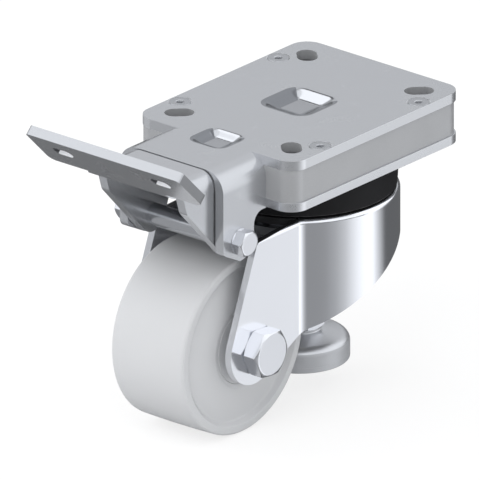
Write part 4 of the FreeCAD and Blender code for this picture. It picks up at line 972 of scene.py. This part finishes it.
class CASTOR_OT_stage(bpy.types.Operator):
    """Sets the pale floor, the soft lights and screens, and the camera"""

    bl_idname = "castor.stage"
    bl_label = "Studio"

    def execute(self, context):
        scene = context.scene
        studio = scene.castor_studio
        self.lay_floor(scene, studio)
        self.hang_screens(scene)
        self.set_lamps(scene, studio)
        self.set_camera(scene, studio)
        scene.view_settings.view_transform = "Standard"
        return {"FINISHED"}

    def lay_floor(self, scene, studio):
        """A pale floor that the camera sees as white but for the shadow, and that the metal looks through."""
        reach, level = 6.0, -0.159
        glow_level, glow_share = 1.06, 0.72
        mesh = bpy.data.meshes.new("floor")
        around = ((-1, -1), (1, -1), (1, 1), (-1, 1))
        corners = [(reach * across, reach * along, level) for across, along in around]
        mesh.from_pydata(corners, [], [(0, 1, 2, 3)])
        floor = bpy.data.objects.new("floor", mesh)
        scene.collection.objects.link(floor)
        pale = bpy.data.materials.new("pale_floor")
        pale.use_nodes = True
        tree = pale.node_tree
        link = tree.links.new
        shader = tree.nodes["Principled BSDF"]
        tone = studio.floor_tone
        shader.inputs["Base Color"].default_value = (tone, tone, tone, 1)
        shader.inputs["Roughness"].default_value = 0.9
        shader.inputs["Specular IOR Level"].default_value = 0.0
        glow = tree.nodes.new("ShaderNodeEmission")
        glow.inputs["Strength"].default_value = glow_level
        seen = tree.nodes.new("ShaderNodeMixShader")
        path = tree.nodes.new("ShaderNodeLightPath")
        part = tree.nodes.new("ShaderNodeMath")
        part.operation = "MULTIPLY"
        part.inputs[1].default_value = glow_share
        link(path.outputs["Is Camera Ray"], part.inputs[0])
        link(part.outputs["Value"], seen.inputs["Fac"])
        link(shader.outputs["BSDF"], seen.inputs[1])
        link(glow.outputs["Emission"], seen.inputs[2])
        clear = tree.nodes.new("ShaderNodeBsdfTransparent")
        mirrored = tree.nodes.new("ShaderNodeMixShader")
        link(path.outputs["Is Glossy Ray"], mirrored.inputs["Fac"])
        link(seen.outputs["Shader"], mirrored.inputs[1])
        link(clear.outputs["BSDF"], mirrored.inputs[2])
        link(mirrored.outputs["Shader"], tree.nodes["Material Output"].inputs["Surface"])
        floor.data.materials.append(pale)

    def hang_screens(self, scene):
        """The surroundings: white to the camera, a plain pale level to matt surfaces, and to mirrors a grey
        room with soft screens. Each screen is a smooth step of the angle between the mirrored direction and
        the screen's own."""
        room_tint, plain_level = (0.965, 0.985, 1.02, 1), (0.89, 0.9, 0.915, 1)
        room = bpy.data.worlds.new("studio")
        room.use_nodes = True
        scene.world = room
        tree = room.node_tree
        link = tree.links.new
        way = tree.nodes.new("ShaderNodeTexCoord").outputs["Generated"]
        level = None
        for name, azimuth, height, full, end, tone in SCREENS:
            dot = tree.nodes.new("ShaderNodeVectorMath")
            dot.operation = "DOT_PRODUCT"
            dot.inputs[1].default_value = aim_way(azimuth, height)
            link(way, dot.inputs[0])
            cover_share = tree.nodes.new("ShaderNodeMapRange")
            cover_share.label = name
            cover_share.interpolation_type = "SMOOTHSTEP"
            cover_share.inputs["From Min"].default_value = math.cos(math.radians(end))
            cover_share.inputs["From Max"].default_value = math.cos(math.radians(full))
            link(dot.outputs["Value"], cover_share.inputs["Value"])
            mix = tree.nodes.new("ShaderNodeMix")
            mix.data_type = "FLOAT"
            mix.inputs["A"].default_value = ROOM_LEVEL
            mix.inputs["B"].default_value = tone
            if level is not None:
                link(level, mix.inputs["A"])
            link(cover_share.outputs["Result"], mix.inputs["Factor"])
            level = mix.outputs["Result"]
        mirrored = tree.nodes.new("ShaderNodeBackground")
        mirrored.inputs["Color"].default_value = room_tint
        link(level, mirrored.inputs["Strength"])
        plain = tree.nodes["Background"]
        plain.inputs["Color"].default_value = plain_level
        seen = tree.nodes.new("ShaderNodeBackground")
        seen.inputs["Color"].default_value = (1, 1, 1, 1)
        path = tree.nodes.new("ShaderNodeLightPath")
        to_mirrors = tree.nodes.new("ShaderNodeMixShader")
        link(path.outputs["Is Glossy Ray"], to_mirrors.inputs["Fac"])
        link(plain.outputs["Background"], to_mirrors.inputs[1])
        link(mirrored.outputs["Background"], to_mirrors.inputs[2])
        to_camera = tree.nodes.new("ShaderNodeMixShader")
        link(path.outputs["Is Camera Ray"], to_camera.inputs["Fac"])
        link(to_mirrors.outputs["Shader"], to_camera.inputs[1])
        link(seen.outputs["Background"], to_camera.inputs[2])
        link(to_camera.outputs["Shader"], tree.nodes["World Output"].inputs["Surface"])

    def set_lamps(self, scene, studio):
        """Three soft lamps that mirrors don't show, all turned to the castor's middle."""
        middle = Vector((0, -0.03, -0.08))
        for name, place, size, power in (
            ("key_light", (0.3, -0.9, 1.1), 0.9, 6),
            ("side_light", (1.3, 0.2, 0.5), 0.8, 1),
            ("fill_light", (-1.2, -0.7, 0.5), 0.9, 7),
        ):
            lamp = bpy.data.lights.new(name, "AREA")
            lamp.size = size
            lamp.energy = power * studio.lamp_level
            light = bpy.data.objects.new(name, lamp)
            light.location = Vector(place)
            light.rotation_euler = (middle - light.location).to_track_quat("-Z", "Y").to_euler()
            light.visible_glossy = False
            scene.collection.objects.link(light)

    def set_camera(self, scene, studio):
        """A camera without perspective, at the photo's height and side."""
        lens = bpy.data.cameras.new("camera")
        lens.type = "ORTHO"
        lens.ortho_scale = studio.view_width
        lens.clip_end = 20
        camera = bpy.data.objects.new("camera", lens)
        tilt, swing = math.radians(22.08), math.radians(40.05)
        aside, above, distance = -0.03135, -0.07328, 1.5
        level = math.cos(tilt)
        toward = Vector((level * math.sin(swing), -level * math.cos(swing), math.sin(tilt)))
        right = Vector((math.cos(swing), math.sin(swing), 0))
        up = toward.cross(right)
        place = right * aside + up * above + toward * distance
        turn = Matrix((right, up, toward)).transposed().to_4x4()
        camera.matrix_world = Matrix.Translation(place) @ turn
        scene.collection.objects.link(camera)
        scene.camera = camera


PIECES = ("carried", "head", "lever", "fork", "wheel", "fasteners", "foot", "stage")
GROUPS = {"castor_sizes": CastorSizes, "castor_colours": CastorColours, "castor_studio": CastorStudio}


class CASTOR_PT_sidebar(bpy.types.Panel):
    """Lists the castor's pieces with their sizes and colours"""

    bl_idname = "CASTOR_PT_sidebar"
    bl_label = "Levelling castor"
    bl_space_type = "VIEW_3D"
    bl_region_type = "UI"
    bl_category = "Castor"

    def draw(self, context):
        column = self.layout.column(align=True)
        for name in PIECES:
            column.operator("castor." + name)
        for name, group in GROUPS.items():
            box = self.layout.box()
            values = getattr(context.scene, name)
            for field in group.__annotations__:
                box.prop(values, field)


CLASSES = (
    CastorSizes,
    CastorColours,
    CastorStudio,
    CASTOR_OT_carried,
    CASTOR_OT_head,
    CASTOR_OT_lever,
    CASTOR_OT_fork,
    CASTOR_OT_wheel,
    CASTOR_OT_fasteners,
    CASTOR_OT_foot,
    CASTOR_OT_stage,
    CASTOR_PT_sidebar,
)


def register():
    """Adds the castor's values, operators and panel."""
    for item in CLASSES:
        bpy.utils.register_class(item)
    for name, group in GROUPS.items():
        setattr(bpy.types.Scene, name, bpy.props.PointerProperty(type=group))


def unregister():
    """Takes away what register adds."""
    for name in GROUPS:
        delattr(bpy.types.Scene, name)
    for item in reversed(CLASSES):
        bpy.utils.unregister_class(item)


def main():
    """Builds the castor and the studio."""
    register()
    for name in PIECES:
        getattr(bpy.ops.castor, name)()


if __name__ == "__main__":
    main()
